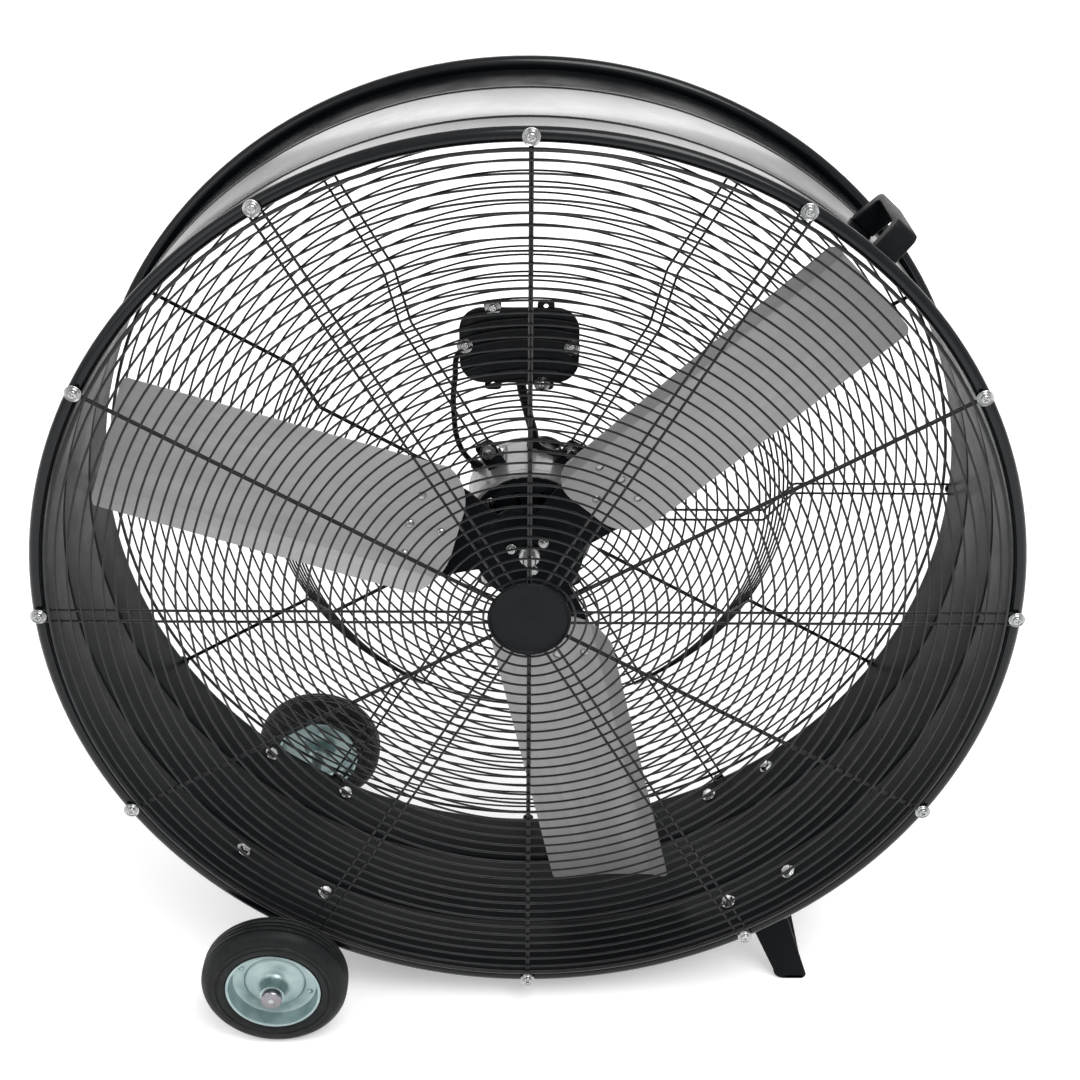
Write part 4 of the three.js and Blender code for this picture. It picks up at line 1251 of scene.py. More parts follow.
@dataclass
class RimScrews:
    """The screws with big washers that hold both guards to the rims."""

    circle: float = 541.5 * MILLI
    rear_circle: float = 539.5 * MILLI
    front: float = 1.1 * MILLI
    rear: float = 309.9 * MILLI
    washer: float = 9 * MILLI
    rear_washer: float = 7.5 * MILLI
    head: float = 0.55
    height: float = 3.2 * MILLI
    twist: float = 47.0
    count: int = 12

    def build(self, shop: Workshop) -> None:
        """Models one screw for each rim and copies it round."""
        ends = (
            ("front", self.front, self.circle, self.washer, -1.0),
            ("rear", self.rear, self.rear_circle, self.rear_washer, 1.0))
        for end, depth, circle, washer, way in ends:
            screw = Fastener(
                Head.PAN, self.head * washer, self.height, washer=washer, cupped=True).model(
                "rim_screw", shop.finishes.steel, shop.finishes.washer)
            shop.repeat(screw, (
                (f"rim_screw_{end}_{i + 1}", Fastener.seat(
                    shop.plan.point(circle, i * 360 / self.count, depth),
                    Vector((0.0, way, 0.0)), twist=self.twist * i))
                for i in range(self.count)))


# ---- the rotor -------------------------------------------------------------------------------
@dataclass
class SheetSection:
    """The blade's section as it is folded: a bent flange, then two shallow bows."""

    width: float = 157.6 * MILLI
    flange: float = 26 * MILLI
    fold: float = 86 * MILLI
    flange_bend: float = 11.0
    fold_bend: float = 2.5
    bow: float = 15.5
    step: float = 6 * MILLI

    def path(self, lift: float) -> list[tuple[Vector, float]]:
        """Walks along the section from the leading edge.

        Args:
            lift: How far behind the middle of the sheet the walk goes.

        Returns:
            Points in the plane across the blade, each with its heading in radians.
        """
        count = round(self.width / self.step)
        stride = self.width / count
        rows = []
        heading = math.radians((self.bow + self.flange_bend + self.fold_bend) / 2)
        at = Vector((0.0, 0.0))
        folds = {round(self.flange / stride): self.flange_bend,
                 round(self.fold / stride): self.fold_bend}
        for i in range(count + 1):
            rows.append((at.copy(), heading))
            heading -= math.radians(self.bow / count + folds.get(i, 0.0))
            at += stride * Vector((math.cos(heading), math.sin(heading)))
        chord = rows[-1][0]
        tilt = math.atan2(chord.y, chord.x)
        level = Matrix.Rotation(-tilt, 2)
        middle = Vector((chord.length / 2, 0.0))
        turned = []
        for point, way in rows:
            way -= tilt
            behind = lift * Vector((-math.sin(way), math.cos(way)))
            turned.append((level @ point - middle + behind, way))
        return turned


@dataclass
class Blade:
    """One riveted paddle blade, bent from sheet at the top of the drum."""

    root: float = 89 * MILLI
    tip: float = 504 * MILLI
    depth: float = 132 * MILLI
    root_pitch: float = 19.0
    tip_pitch: float = 12.5
    sheet: float = 1.8 * MILLI
    half: float = 78 * MILLI
    root_round: float = 54 * MILLI
    tip_round: float = 13 * MILLI
    spans: int = 24
    crease: float = math.radians(2.0)
    section: SheetSection = field(default_factory=SheetSection)
    rivet_rows: Pairs = ((108, 0), (142, -34), (146, 0), (142, 34))

    def pitch(self, radius: float) -> float:
        """The pitch in radians at a radius."""
        share = min(max((radius - self.root) / (self.tip - self.root), 0.0), 1.0)
        return math.radians(self.root_pitch + share * (self.tip_pitch - self.root_pitch))

    def on_sheet(
        self, plan: Plan, radius: float, across: float, lift: float
    ) -> tuple[Vector, Vector]:
        """Finds a point of the sheet and its front normal.

        Args:
            plan: The drum's place.
            radius: Distance from the axis along the blade.
            across: Distance from its middle line.
            lift: Distance behind the sheet's middle.

        Returns:
            The point and the way that its front face looks.
        """
        rows = self.section.path(lift)
        point, way = min(rows, key=lambda row: abs(row[0].x - across))
        way += self.pitch(radius)
        turned = Matrix.Rotation(self.pitch(radius), 2) @ point
        base = plan.point(radius, 0.0, self.depth)
        return base + Vector((turned.x, turned.y, 0)), Vector((math.sin(way), -math.cos(way), 0))

    def sweep(
        self, name: str, plan: Plan, lift: float, start: float, end: float, spans: int
    ) -> Piece:
        """Walks one point along the section and extrudes that line along the blade.

        Args:
            name: The sheet's name.
            plan: The drum's place.
            lift: Distance behind the blade's middle.
            start: First radius.
            end: Last radius.
            spans: Steps between them.

        Returns:
            The open sheet.
        """
        rows = [point for point, _ in self.section.path(lift)]
        base = plan.point(start, 0.0, self.depth)
        sheet = Bench.added(
            name, bpy.ops.mesh.primitive_plane_add, size=MILLI,
            location=base + Vector((rows[0].x, rows[0].y, 0)))
        with Bench.editing(sheet):
            bpy.ops.mesh.merge(type="CENTER")
            for before, after in pairwise(rows):
                step = after - before
                Bench.pull(step.x, step.y, 0)
            bpy.ops.mesh.select_all(action="SELECT")
            self._pitch_rows(base, self.pitch(start))
            for i in range(spans):
                near = start + (end - start) * i / spans
                far = start + (end - start) * (i + 1) / spans
                Bench.pull(0, 0, far - near)
                self._pitch_rows(base, self.pitch(far) - self.pitch(near))
        return sheet

    @staticmethod
    def _pitch_rows(base: Vector, angle: float) -> None:
        """Turns what is selected about the blade's length."""
        bpy.ops.transform.rotate(value=-angle, orient_axis="Z", center_override=base)

    def _planform(self, plan: Plan) -> Piece:
        """The outline that the blade is cut to: round root, round tip corners."""
        reach = 80 * MILLI
        low = plan.point(self.root, 0.0, self.depth - reach) - Vector((self.half, 0, 0))
        high = plan.point(self.tip, 0.0, self.depth + reach) + Vector((self.half, 0, 0))
        block = Bench.block("planform", low, high)
        middle = (low.z + high.z) / 2

        def corner(edge: Edge, above: bool) -> bool:
            first, last = edge.verts
            same = abs(first.co.y - last.co.y) > reach
            return same and (first.co.z > middle) == above

        with Bench.editing(block, "EDGE"):
            for above, radius in ((False, self.root_round), (True, self.tip_round)):
                Bench.bevel(block, radius, 14, lambda edge: corner(edge, above))
        return block

    def _lay_grain(self, sheet: Piece, plan: Plan) -> None:
        """Lays the grain's map: across the blade and along it, in metres."""
        layer = sheet.data.uv_layers.new(name="along")
        for loop in sheet.data.loops:
            place = sheet.data.vertices[loop.vertex_index].co
            layer.data[loop.index].uv = (place.x, place.z - plan.height)

    def model(self, shop: Workshop) -> Piece:
        """Models one blade at the top of the drum."""
        sheet = self.sweep("blade", shop.plan, 0.0, self.root, self.tip, self.spans)
        Bench.modify(sheet, "SOLIDIFY", thickness=self.sheet, offset=0.0)
        Bench.cut(sheet, self._planform(shop.plan), "INTERSECT")
        Bench.smooth(sheet, self.crease)
        self._lay_grain(sheet, shop.plan)
        return sheet


@dataclass
class Spider:
    """The pressed three-arm hub behind the blades."""

    blade: Blade
    reach: float = 163 * MILLI
    sheet: float = 2.6 * MILLI
    behind: float = 2.8 * MILLI
    front: float = 141.4 * MILLI
    disc: float = 64 * MILLI
    arm_root: float = 40 * MILLI
    arm_half: float = 52 * MILLI
    root_half: float = 34 * MILLI
    boss: float = 34 * MILLI
    neck: float = 20 * MILLI
    boss_depth: float = 22 * MILLI
    bore: float = 8.3 * MILLI
    end_round: float = 20 * MILLI
    shoulder: float = 96 * MILLI
    press: float = 1.6 * MILLI
    press_rings: tuple[float, ...] = (33 * MILLI, 37 * MILLI, 45 * MILLI, 49 * MILLI)
    segments: int = 96

    def _arm(self, plan: Plan) -> Piece:
        """Bends one arm: flat at the disc, pitched and bowed behind the blade."""
        arm = self.blade.sweep("arm", plan, self.behind, self.blade.root, self.reach, 6)
        start = plan.height + self.blade.root
        back = plan.datum + self.front + self.sheet / 2
        with Bench.editing(arm, "EDGE"):
            Bench.pick(arm, "EDGE", lambda edge: all(
                abs(vert.co.z - start) < MERGE for vert in edge.verts))
            drop = start - plan.height - self.arm_root
            Bench.pull(0, 0, -drop)
            middle = Vector((0.0, back, start - drop))
            bpy.ops.transform.rotate(
                value=self.blade.pitch(self.blade.root), orient_axis="Z", center_override=middle)
            bpy.ops.transform.resize(value=(1, 0, 1), center_override=middle)
            Bench.pick(arm, "EDGE", lambda edge: (
                min(vert.co.z for vert in edge.verts) < start - MERGE
                and abs(edge.verts[0].co.z - edge.verts[1].co.z) > MERGE))
            bpy.ops.mesh.subdivide(number_cuts=7, smoothness=0.0)
        self._ease(arm, start, drop)
        Bench.modify(arm, "SOLIDIFY", thickness=self.sheet, offset=0.0)
        Bench.cut(arm, self._planform(plan), "INTERSECT")
        return arm

    @staticmethod
    def _ease(arm: Piece, start: float, drop: float) -> None:
        """Eases the arm's bend into its flat root, as a press tool does."""
        with Bench.editing(arm):
            Bench.pick(arm, "VERT", lambda vert: start - drop + MERGE < vert.co.z < start - MERGE)
            bpy.ops.mesh.vertices_smooth(factor=0.5, repeat=6, xaxis=False, zaxis=False)

    def _planform(self, plan: Plan) -> Piece:
        """The arm's outline: narrow at the disc, wide and round at its end."""
        depth = 60 * MILLI
        low = plan.point(self.arm_root, 0.0, self.front - depth) - Vector((self.arm_half, 0, 0))
        high = plan.point(self.reach, 0.0, self.front + depth) + Vector((self.arm_half, 0, 0))
        block = Bench.block("planform", low, high)
        shoulder = plan.height + self.shoulder
        with Bench.editing(block, "EDGE"):
            bpy.ops.mesh.bisect(plane_co=(0, 0, shoulder), plane_no=(0, 0, 1))
            Bench.pick(block, "VERT", lambda vert: vert.co.z < low.z + MERGE)
            share = self.root_half / self.arm_half
            bpy.ops.transform.resize(value=(share, 1, 1), center_override=(0, low.y, low.z))

            def end_corner(edge: Edge) -> bool:
                first, last = (vert.co for vert in edge.verts)
                return abs(first.y - last.y) > depth and first.z > high.z - MERGE

            Bench.bevel(block, self.end_round, 10, end_corner)
        return block

    def _disc(self, plan: Plan) -> Piece:
        """Turns the disc with its pressed ring and the boss behind it."""
        face = self.front
        step = self.press
        back = face + self.sheet
        first, second, third, last = self.press_rings
        return Bench.turned("disc", [
            (self.bore, face), (first, face), (second, face - step),
            (third, face - step), (last, face), (self.disc, face),
            (self.disc, back), (self.boss, back),
            (self.boss, back + 2 * step), (self.neck, face + self.boss_depth / 2),
            (self.neck, face + self.boss_depth), (self.bore, face + self.boss_depth),
        ], plan.axis_at(0.0), self.segments, closed=True)

    def build(self, shop: Workshop) -> None:
        """Bends the arms, turns the disc and joins them."""
        arm = self._arm(shop.plan)
        parts = [self._disc(shop.plan)]
        for clock in Rotor.clocks():
            parts.append(Bench.copied(arm, "arm_copy", shop.plan.turned(clock)))
        bpy.data.objects.remove(arm)
        whole = Bench.smooth(Bench.joined(parts, "hub_pressing"))
        # Takes the duller black paint, the one whose weak reflection is painted shade inside the
        # drum.
        shop.dress(whole, Body.ROTOR, Slot.PAINT, shop.finishes.inside, "hub_spider")


@dataclass
class Rotor:
    """Blades, hub, shaft end, collar and everything that turns with them."""

    bolt_circle: float = 22.5 * MILLI
    bolt_seat: float = 141.4 * MILLI
    rivet_sides: tuple[tuple[str, float, int], ...] = (
        ("front", -0.9 * MILLI, 1), ("back", 4.1 * MILLI, -1))
    shaft: float = 8 * MILLI
    shaft_tip: float = 121 * MILLI
    shaft_end: float = 181.7 * MILLI
    collar: float = 13.5 * MILLI
    collar_front: float = 132.1 * MILLI
    collar_back: float = 141.1 * MILLI
    blade: Blade = field(default_factory=Blade)

    @staticmethod
    def clocks() -> list[float]:
        """The clock angles of the three blades."""
        return [FIRST_BLADE + i * 360 / BLADES for i in range(BLADES)]

    def _shaft(self, shop: Workshop) -> None:
        """Turns the shaft end and the collar."""
        edge = 1.4 * MILLI
        axis = shop.plan.axis_at(0.0)
        dimple = 2.6 * MILLI
        shaft = Bench.turned("shaft_end", [
            (0.0, self.shaft_tip + 2 * MILLI), (dimple, self.shaft_tip),
            (self.shaft - edge, self.shaft_tip), (self.shaft, self.shaft_tip + edge),
            (self.shaft, self.shaft_end), (0.0, self.shaft_end),
        ], axis, 64)
        shop.dress(shaft, Body.ROTOR, Slot.STEEL, shop.finishes.steel, "shaft")
        bore = self.shaft + 0.2 * MILLI
        collar = Bench.turned("collar", [
            (bore, self.collar_front), (self.collar - edge, self.collar_front),
            (self.collar, self.collar_front + edge), (self.collar, self.collar_back - edge),
            (self.collar - edge, self.collar_back), (bore, self.collar_back),
        ], axis, 64, closed=True)
        shop.dress(collar, Body.ROTOR, Slot.STEEL, shop.finishes.steel, "shaft_collar")

    def _bolts(self, shop: Workshop) -> None:
        """Copies the hub's bolts and the blades' rivets into place."""
        finishes = shop.finishes
        bolt = Fastener(Head.HEX, 5.4 * MILLI, 4 * MILLI, washer=6.2 * MILLI).model(
            "hub_bolt", finishes.steel, finishes.washer)
        rivet = Fastener(Head.RIVET, 5.2 * MILLI, 2.4 * MILLI).model(
            "rivet", finishes.washer, finishes.washer)
        bolts = []
        rivets = []
        for i, clock in enumerate(self.clocks()):
            seat = shop.plan.point(self.bolt_circle, clock, self.bolt_seat)
            bolts.append((f"hub_bolt_{i + 1}", Fastener.seat(seat, FRONT, 20.0 * i)))
            for j, (radius, across) in enumerate(self.blade.rivet_rows):
                for side, lift, way in self.rivet_sides:
                    at, facing = self.blade.on_sheet(
                        shop.plan, radius * MILLI, across * MILLI, lift)
                    place = shop.plan.turned(clock) @ Fastener.seat(at, way * facing)
                    rivets.append((f"rivet_{i + 1}_{j + 1}_{side}", place))
        shop.repeat(bolt, bolts, Body.ROTOR)
        shop.repeat(rivet, rivets, Body.ROTOR)

    def build(self, shop: Workshop) -> None:
        """Models one blade, copies it round the hub and adds the rest."""
        blade = self.blade.model(shop)
        for i, clock in enumerate(self.clocks()):
            copy = Bench.copied(blade, f"blade_sheet_{i + 1}", shop.plan.turned(clock))
            shop.dress(copy, Body.ROTOR, Slot.BLADE, shop.finishes.blade, f"blade_{i + 1}")
        bpy.data.objects.remove(blade)
        Spider(self.blade).build(shop)
        self._shaft(shop)
        self._bolts(shop)


# ---- motor and its mounts --------------------------------------------------------------------
@dataclass
class Motor:
    """The grey motor: rolled shell and two vented end bells; its four straps to the guard are built
    by Mounts.
    """

    radius: float = 77.5 * MILLI
    bell: float = 74.5 * MILLI
    shoulder: float = 194 * MILLI
    tail: float = 298 * MILLI
    front: float = 168 * MILLI
    rear: float = 324 * MILLI
    seat_gap: float = 0.3 * MILLI
    bearing: float = 27 * MILLI
    bearing_height: float = 7 * MILLI
    bell_foot: float = 35 * MILLI
    shaft_bore: float = 8.3 * MILLI
    shaft_seat: float = 14 * MILLI
    segments: int = 96
    vents: int = 12
    bolt_circle: float = 66 * MILLI
    bolt_clocks: tuple[float, ...] = (45.0, 135.0, 225.0, 315.0)
    bolt_ends: tuple[tuple[str, float, float], ...] = (
        ("front", 184 * MILLI, -1.0), ("rear", 308 * MILLI, 1.0))

    def _shell(self, shop: Workshop) -> None:
        """Turns the shell with its rolled ends and its two shallow seams."""
        roll = 2 * MILLI
        seam = 0.8 * MILLI
        inset = 14 * MILLI
        groove = self.radius - seam
        profile = [(0.0, self.shoulder), (self.radius - roll, self.shoulder)]
        profile += Bench.arc((self.radius - roll, self.shoulder + roll), roll, -90.0, 0.0, 5)
        for y in (self.shoulder + inset, self.tail - inset):
            profile += [(self.radius, y - seam), (groove, y - seam / 2), (groove, y + seam / 2),
                        (self.radius, y + seam)]
        profile += Bench.arc((self.radius - roll, self.tail - roll), roll, 0.0, 90.0, 5)
        profile.append((0.0, self.tail))
        shell = Bench.turned("motor_can", profile, shop.plan.axis_at(0.0), self.segments)
        shop.dress(shell, Body.FRAME, Slot.MOTOR, shop.finishes.motor, "motor_shell")

    def _bell(self, shop: Workshop, end: str, seat: float, face: float, bored: bool) -> None:
        """Turns an end bell, then cuts its vents."""
        way = math.copysign(1.0, face - seat)
        soft = 1.5 * MILLI
        profile = [(0.0, face)]
        if bored:
            floor = face - way * self.shaft_seat
            profile = [(0.0, floor), (self.shaft_bore, floor), (self.shaft_bore, face)]
        profile += [(self.bearing - 2 * soft, face), (self.bearing - soft, face - way * soft / 2),
                    (self.bearing, face - way * self.bearing_height)]
        depth = abs(face - seat) - self.bearing_height
        for i in range(13):
            angle = TURN / 4 * i / 12
            across = self.bell_foot + (self.bell - self.bell_foot) * math.sin(angle)
            profile.append((across, seat + way * depth * math.cos(angle)))
        profile.append((0.0, seat))
        bell = Bench.turned(f"bell_casting_{end}", profile, shop.plan.axis_at(0.0), self.segments)
        for i in range(self.vents):
            clock = (i + 0.5) * 360 / self.vents
            low = Vector((-3 * MILLI, -16 * MILLI, 45 * MILLI))
            slot = Bench.block("slot", low, -low + Vector((0, 0, 109 * MILLI)))
            Bench.round_corners(slot, 2.8 * MILLI, 4)
            centre = shop.plan.axis_at(seat + way * (depth - 1 * MILLI))
            turn = Matrix.Rotation(math.radians(clock), 4, "Y")
            slot.data.transform(Matrix.Translation(centre) @ turn)
            Bench.cut(bell, slot)
        Bench.smooth(bell)
        # The front bell takes the duller black paint, the one whose weak reflection is painted
        # shade inside the drum.
        paint = shop.finishes.inside if bored else shop.finishes.motor
        shop.dress(bell, Body.FRAME, Slot.MOTOR, paint, f"motor_bell_{end}")

    def build(self, shop: Workshop) -> None:
        """Turns the shell and both bells and adds the long bolts' heads."""
        self._shell(shop)
        self._bell(shop, "front", self.shoulder - self.seat_gap, self.front, True)
        self._bell(shop, "rear", self.tail + self.seat_gap, self.rear, False)
        bolt = Fastener(Head.HEX, 4 * MILLI, 4 * MILLI, washer=5.5 * MILLI).model(
            "bell_bolt", shop.finishes.steel, shop.finishes.washer)
        shop.repeat(bolt, (
            (f"bell_bolt_{end}_{i + 1}", Fastener.seat(
                shop.plan.point(self.bolt_circle, clock, depth), Vector((0.0, facing, 0.0)),
                25.0 * i))
            for end, depth, facing in self.bolt_ends
            for i, clock in enumerate(self.bolt_clocks)))


@dataclass
class Mounts:
    """The four bent straps from the motor's can to the rear guard's paired spokes."""

    clocks: tuple[int, ...] = (30, 150, 210, 330)
    half: float = 12 * MILLI
    sheet: float = 3 * MILLI
    reach: float = 116 * MILLI
    seat: float = 77.8 * MILLI
    flange: float = 233.45 * MILLI
    length: float = 45.5 * MILLI
    bolt: float = 102 * MILLI
    corner: float = 7 * MILLI
    fold: float = 2.4 * MILLI
    can_bolt: float = 0.68

    def _strap(self, plan: Plan) -> Piece:
        """Bends one strap at the top of the motor."""
        low = plan.point(self.seat, 0.0, self.flange) - Vector((self.half, 0, 0))
        high = plan.point(self.reach, 0.0, self.flange + self.sheet) + Vector((self.half, 0, 0))
        strap = Bench.block("strap", low, high)
        fold = low.z + self.sheet
        with Bench.editing(strap, "FACE"):
            bpy.ops.mesh.bisect(plane_co=(0, 0, fold), plane_no=(0, 0, 1))
            Bench.pick(strap, "FACE", lambda face: (
                face.normal.y > NEAR_LEVEL and face.calc_center_median().z < fold))
            Bench.pull(0, self.length - self.sheet, 0)
        with Bench.editing(strap, "EDGE"):
            def corner(edge: Edge) -> bool:
                first, last = (vert.co for vert in edge.verts)
                return abs(first.y - last.y) > MERGE and min(first.z, last.z) > high.z - MERGE

            Bench.bevel(strap, self.corner, 8, corner)

            def bend(edge: Edge) -> bool:
                first, last = (vert.co for vert in edge.verts)
                front = max(abs(first.y - low.y), abs(last.y - low.y)) < MERGE
                return front and max(first.z, last.z) < low.z + MERGE

            Bench.bevel(strap, self.fold, 5, bend)
        return Bench.soften(strap, 0.4 * MILLI)

    def build(self, shop: Workshop) -> None:
        """Copies the strap and its two bolts to the four places."""
        plan = shop.plan
        strap = self._strap(plan)
        bolt = Fastener(Head.HEX, 7 * MILLI, 5.3 * MILLI, washer=10 * MILLI).model(
            "mount_bolt", shop.finishes.steel, shop.finishes.washer)
        top = self.seat + self.sheet
        places = []
        for clock in self.clocks:
            turn = plan.turned(clock)
            copy = Bench.copied(strap, f"strap_{clock}", turn)
            shop.dress(copy, Body.FRAME, Slot.PAINT, shop.finishes.paint, f"motor_mount_{clock}")
            rows = (
                ("flange", plan.point(self.bolt, 0.0, self.flange), FRONT),
                ("can", plan.point(top, 0.0, self.flange + self.can_bolt * self.length), UP),
            )
            for spot, at, facing in rows:
                place = turn @ Fastener.seat(at, facing, float(clock))
                places.append((f"mount_bolt_{clock}_{spot}", place))
        shop.repeat(bolt, places)
        bpy.data.objects.remove(strap)


# ---- control box and leads -------------------------------------------------------------------
@dataclass
class ControlBox:
    """The switch box on the rear guard: flanged plate, case, lid and its knob."""

    x: float = -13 * MILLI
    z: float = 224 * MILLI
    width: float = 141 * MILLI
    height: float = 95 * MILLI
    sheet: float = 3 * MILLI
    corner: float = 28 * MILLI
    front: float = 241.75 * MILLI
    tab_half: float = 10 * MILLI
    tab_reach: float = 9 * MILLI
    tab_offset: float = 31 * MILLI
    case_width: float = 112 * MILLI
    case_height: float = 54 * MILLI
    case_drop: float = 9 * MILLI
    case_depth: float = 56 * MILLI
    case_corner: float = 16 * MILLI
    lid: float = 5 * MILLI
    gap: float = 0.3 * MILLI
    screw_inset: float = 9 * MILLI
    screws: Pairs = ((-44, 272), (-77, 224), (49, 222), (14, 175))
    knob_at: tuple[float, float] = (9 * MILLI, 218 * MILLI)
    knob_radius: float = 19 * MILLI
    knob_height: float = 20 * MILLI

    def _slab(
        self, plan: Plan, name: str, size: tuple[float, float], near: float, far: float,
        corner: float, drop: float = 0.0,
    ) -> Piece:
        """A slab with round corners about the box's middle, or that far below it."""
        middle = Vector((self.x, 0.0, plan.height + self.z - drop))
        half = Vector((size[0] / 2, 0.0, size[1] / 2))
        low = middle - half + Vector((0, plan.datum + near, 0))
        high = middle + half + Vector((0, plan.datum + far, 0))
        slab = Bench.block(name, low, high)
        Bench.round_corners(slab, corner, 10)
        return slab

    def _plate(self, plan: Plan) -> Piece:
        """The flanged front plate with its four tabs, their holes and its pressed panel."""
        far = self.front + self.sheet
        plate = self._slab(plan, "plate", (self.width, self.height), self.front, far, self.corner)
        sides = ((-1, 1), (1, 1), (-1, -1), (1, -1))
        for side, end in sides:
            x = self.x + side * self.tab_offset
            z = plan.height + self.z + end * self.height / 2
            low = Vector((x - self.tab_half, plan.datum + self.front, z - self.tab_reach))
            high = Vector((x + self.tab_half, plan.datum + far, z + self.tab_reach))
            tab = Bench.block("tab", low, high)
            Bench.round_corners(tab, 5 * MILLI, 6)
            Bench.cut(plate, tab, "UNION")
        for side, end in sides:
            hole = Vector((
                self.x + side * self.tab_offset, plan.datum + self.front,
                plan.height + self.z + end * (self.height / 2 + self.tab_reach / 4)))
            Bench.bored(plate, hole, 3 * MILLI, 4 * self.sheet)
        panel = self._slab(
            plan, "panel", (self.width - 30 * MILLI, self.height - 26 * MILLI),
            self.front - self.sheet, self.front + 0.9 * MILLI, self.corner - 10 * MILLI)
        Bench.cut(plate, panel)
        return Bench.soften(plate, 0.7 * MILLI)

    def build(self, shop: Workshop) -> None:
        """Builds the box, its lid, its screws and its knob."""
        plan = shop.plan
        finishes = shop.finishes
        foot = self.front + self.sheet - 0.5 * MILLI
        back = self.front + self.sheet + self.case_depth
        case = self._slab(
            plan, "case", (self.case_width, self.case_height), foot, back, self.case_corner,
            self.case_drop)
        Bench.soften(case, 1.2 * MILLI, 3)
        whole = Bench.joined([self._plate(plan), case], "switch_box")
        Bench.smooth(whole)
        shop.dress(whole, Body.FRAME, Slot.MOULDING, finishes.moulding, "control_box")
        lip = 4 * MILLI
        near = back + self.gap
        cover = self._slab(
            plan, "switch_lid", (self.case_width + lip, self.case_height + lip), near,
            near + self.lid, self.case_corner + lip / 2, self.case_drop)
        Bench.soften(cover, 1.2 * MILLI, 3)
        shop.dress(cover, Body.FRAME, Slot.MOULDING, finishes.moulding, "box_lid")
        self._screws(shop, near + self.lid)
        self._knob(shop, near + self.lid)

    def _screws(self, shop: Workshop, lid_back: float) -> None:
        """The four screws with big washers in front, and the lid's four small ones."""
        big = Fastener(
            Head.PAN, 5.2 * MILLI, 3 * MILLI, washer=9.5 * MILLI, cupped=True).model(
            "box_screw", shop.finishes.steel, shop.finishes.washer)
        small = Fastener(Head.PAN, 3.4 * MILLI, 2.2 * MILLI).model(
            "lid_screw", shop.finishes.steel, shop.finishes.washer)
        place = shop.plan.axis_at(0.0)
        shop.repeat(big, (
            (f"box_screw_{i + 1}", Fastener.seat(
                place + Vector((x * MILLI, self.front, z * MILLI)), FRONT, 40.0 * i))
            for i, (x, z) in enumerate(self.screws)))
        across = self.case_width / 2 - self.screw_inset
        up = self.case_height / 2 - self.screw_inset
        shop.repeat(small, (
            (f"lid_screw_{i + 1}", Fastener.seat(
                place + Vector((self.x + side * across, lid_back,
                                self.z - self.case_drop + end * up)), BACK, 30.0 * i))
            for i, (side, end) in enumerate(((-1, 1), (1, 1), (1, -1), (-1, -1)))))

    def _knob(self, shop: Workshop, lid_back: float) -> None:
        """Turns the knob's skirt, fits its grip bar and marks the dial round it."""
        plan = shop.plan
        base = lid_back + self.gap
        x, z = self.knob_at
        at = plan.axis_at(0.0) + Vector((x, 0.0, z))
        edge = 1.5 * MILLI
        low = base + self.knob_height / 3
        skirt = Bench.turned("skirt", [
            (0.0, base), (self.knob_radius, base), (self.knob_radius, base + edge),
            (self.knob_radius - edge, low), (self.knob_radius - 5 * MILLI, low + 2 * edge),
            (0.0, low + 2 * edge),
        ], at, 64)
        half = Vector((4.5 * MILLI, 0.0, self.knob_radius - edge))
        middle = at
        grip = Bench.block(
            "grip", middle - half + Vector((0, low, 0)),
            middle + half + Vector((0, base + self.knob_height, 0)))
        Bench.round_corners(grip, 4 * MILLI, 6)
        Bench.soften(grip, 0.9 * MILLI, 3)
        knob = Bench.smooth(Bench.joined([skirt, grip], "knob_moulding"))
        shop.dress(knob, Body.KNOB, Slot.MOULDING, shop.finishes.moulding, "speed_knob")
        top = base + self.knob_height
        line = Vector((0.7 * MILLI, 0.0, 7 * MILLI))
        centre = middle + Vector((0, top, 8 * MILLI))
        mark = Bench.block(
            "knob_mark", centre - line - Vector((0, 0.3 * MILLI, 0)),
            centre + line + Vector((0, 0.15 * MILLI, 0)))
        Bench.soften(mark, 0.1 * MILLI)
        shop.dress(mark, Body.KNOB, Slot.MOULDING, shop.finishes.mark)
        for i, turn in enumerate((0.0, -45.0, -90.0)):
            self._digit(shop, str(i), at + Vector((0, lid_back, 0)), turn)

    def _digit(self, shop: Workshop, sign: str, at: Vector, turn: float) -> None:
        """Prints one number of the dial on the lid, read from behind."""
        angle = math.radians(turn)
        reach = self.knob_radius + 6.5 * MILLI
        spot = at + reach * Vector((math.sin(angle), 0.0, math.cos(angle)))
        Bench.clear()
        bpy.ops.object.text_add(location=spot, rotation=(TURN / 4, 0, TURN / 2))
        text = bpy.context.object
        text.data.body = sign
        text.data.size = 8 * MILLI
        text.data.extrude = 0.12 * MILLI
        text.data.align_x = "CENTER"
        text.data.align_y = "CENTER"
        bpy.ops.object.convert(target="MESH")
        digit = Bench.named(f"dial_{sign}")
        shop.dress(digit, Body.FRAME, Slot.MOULDING, shop.finishes.mark)


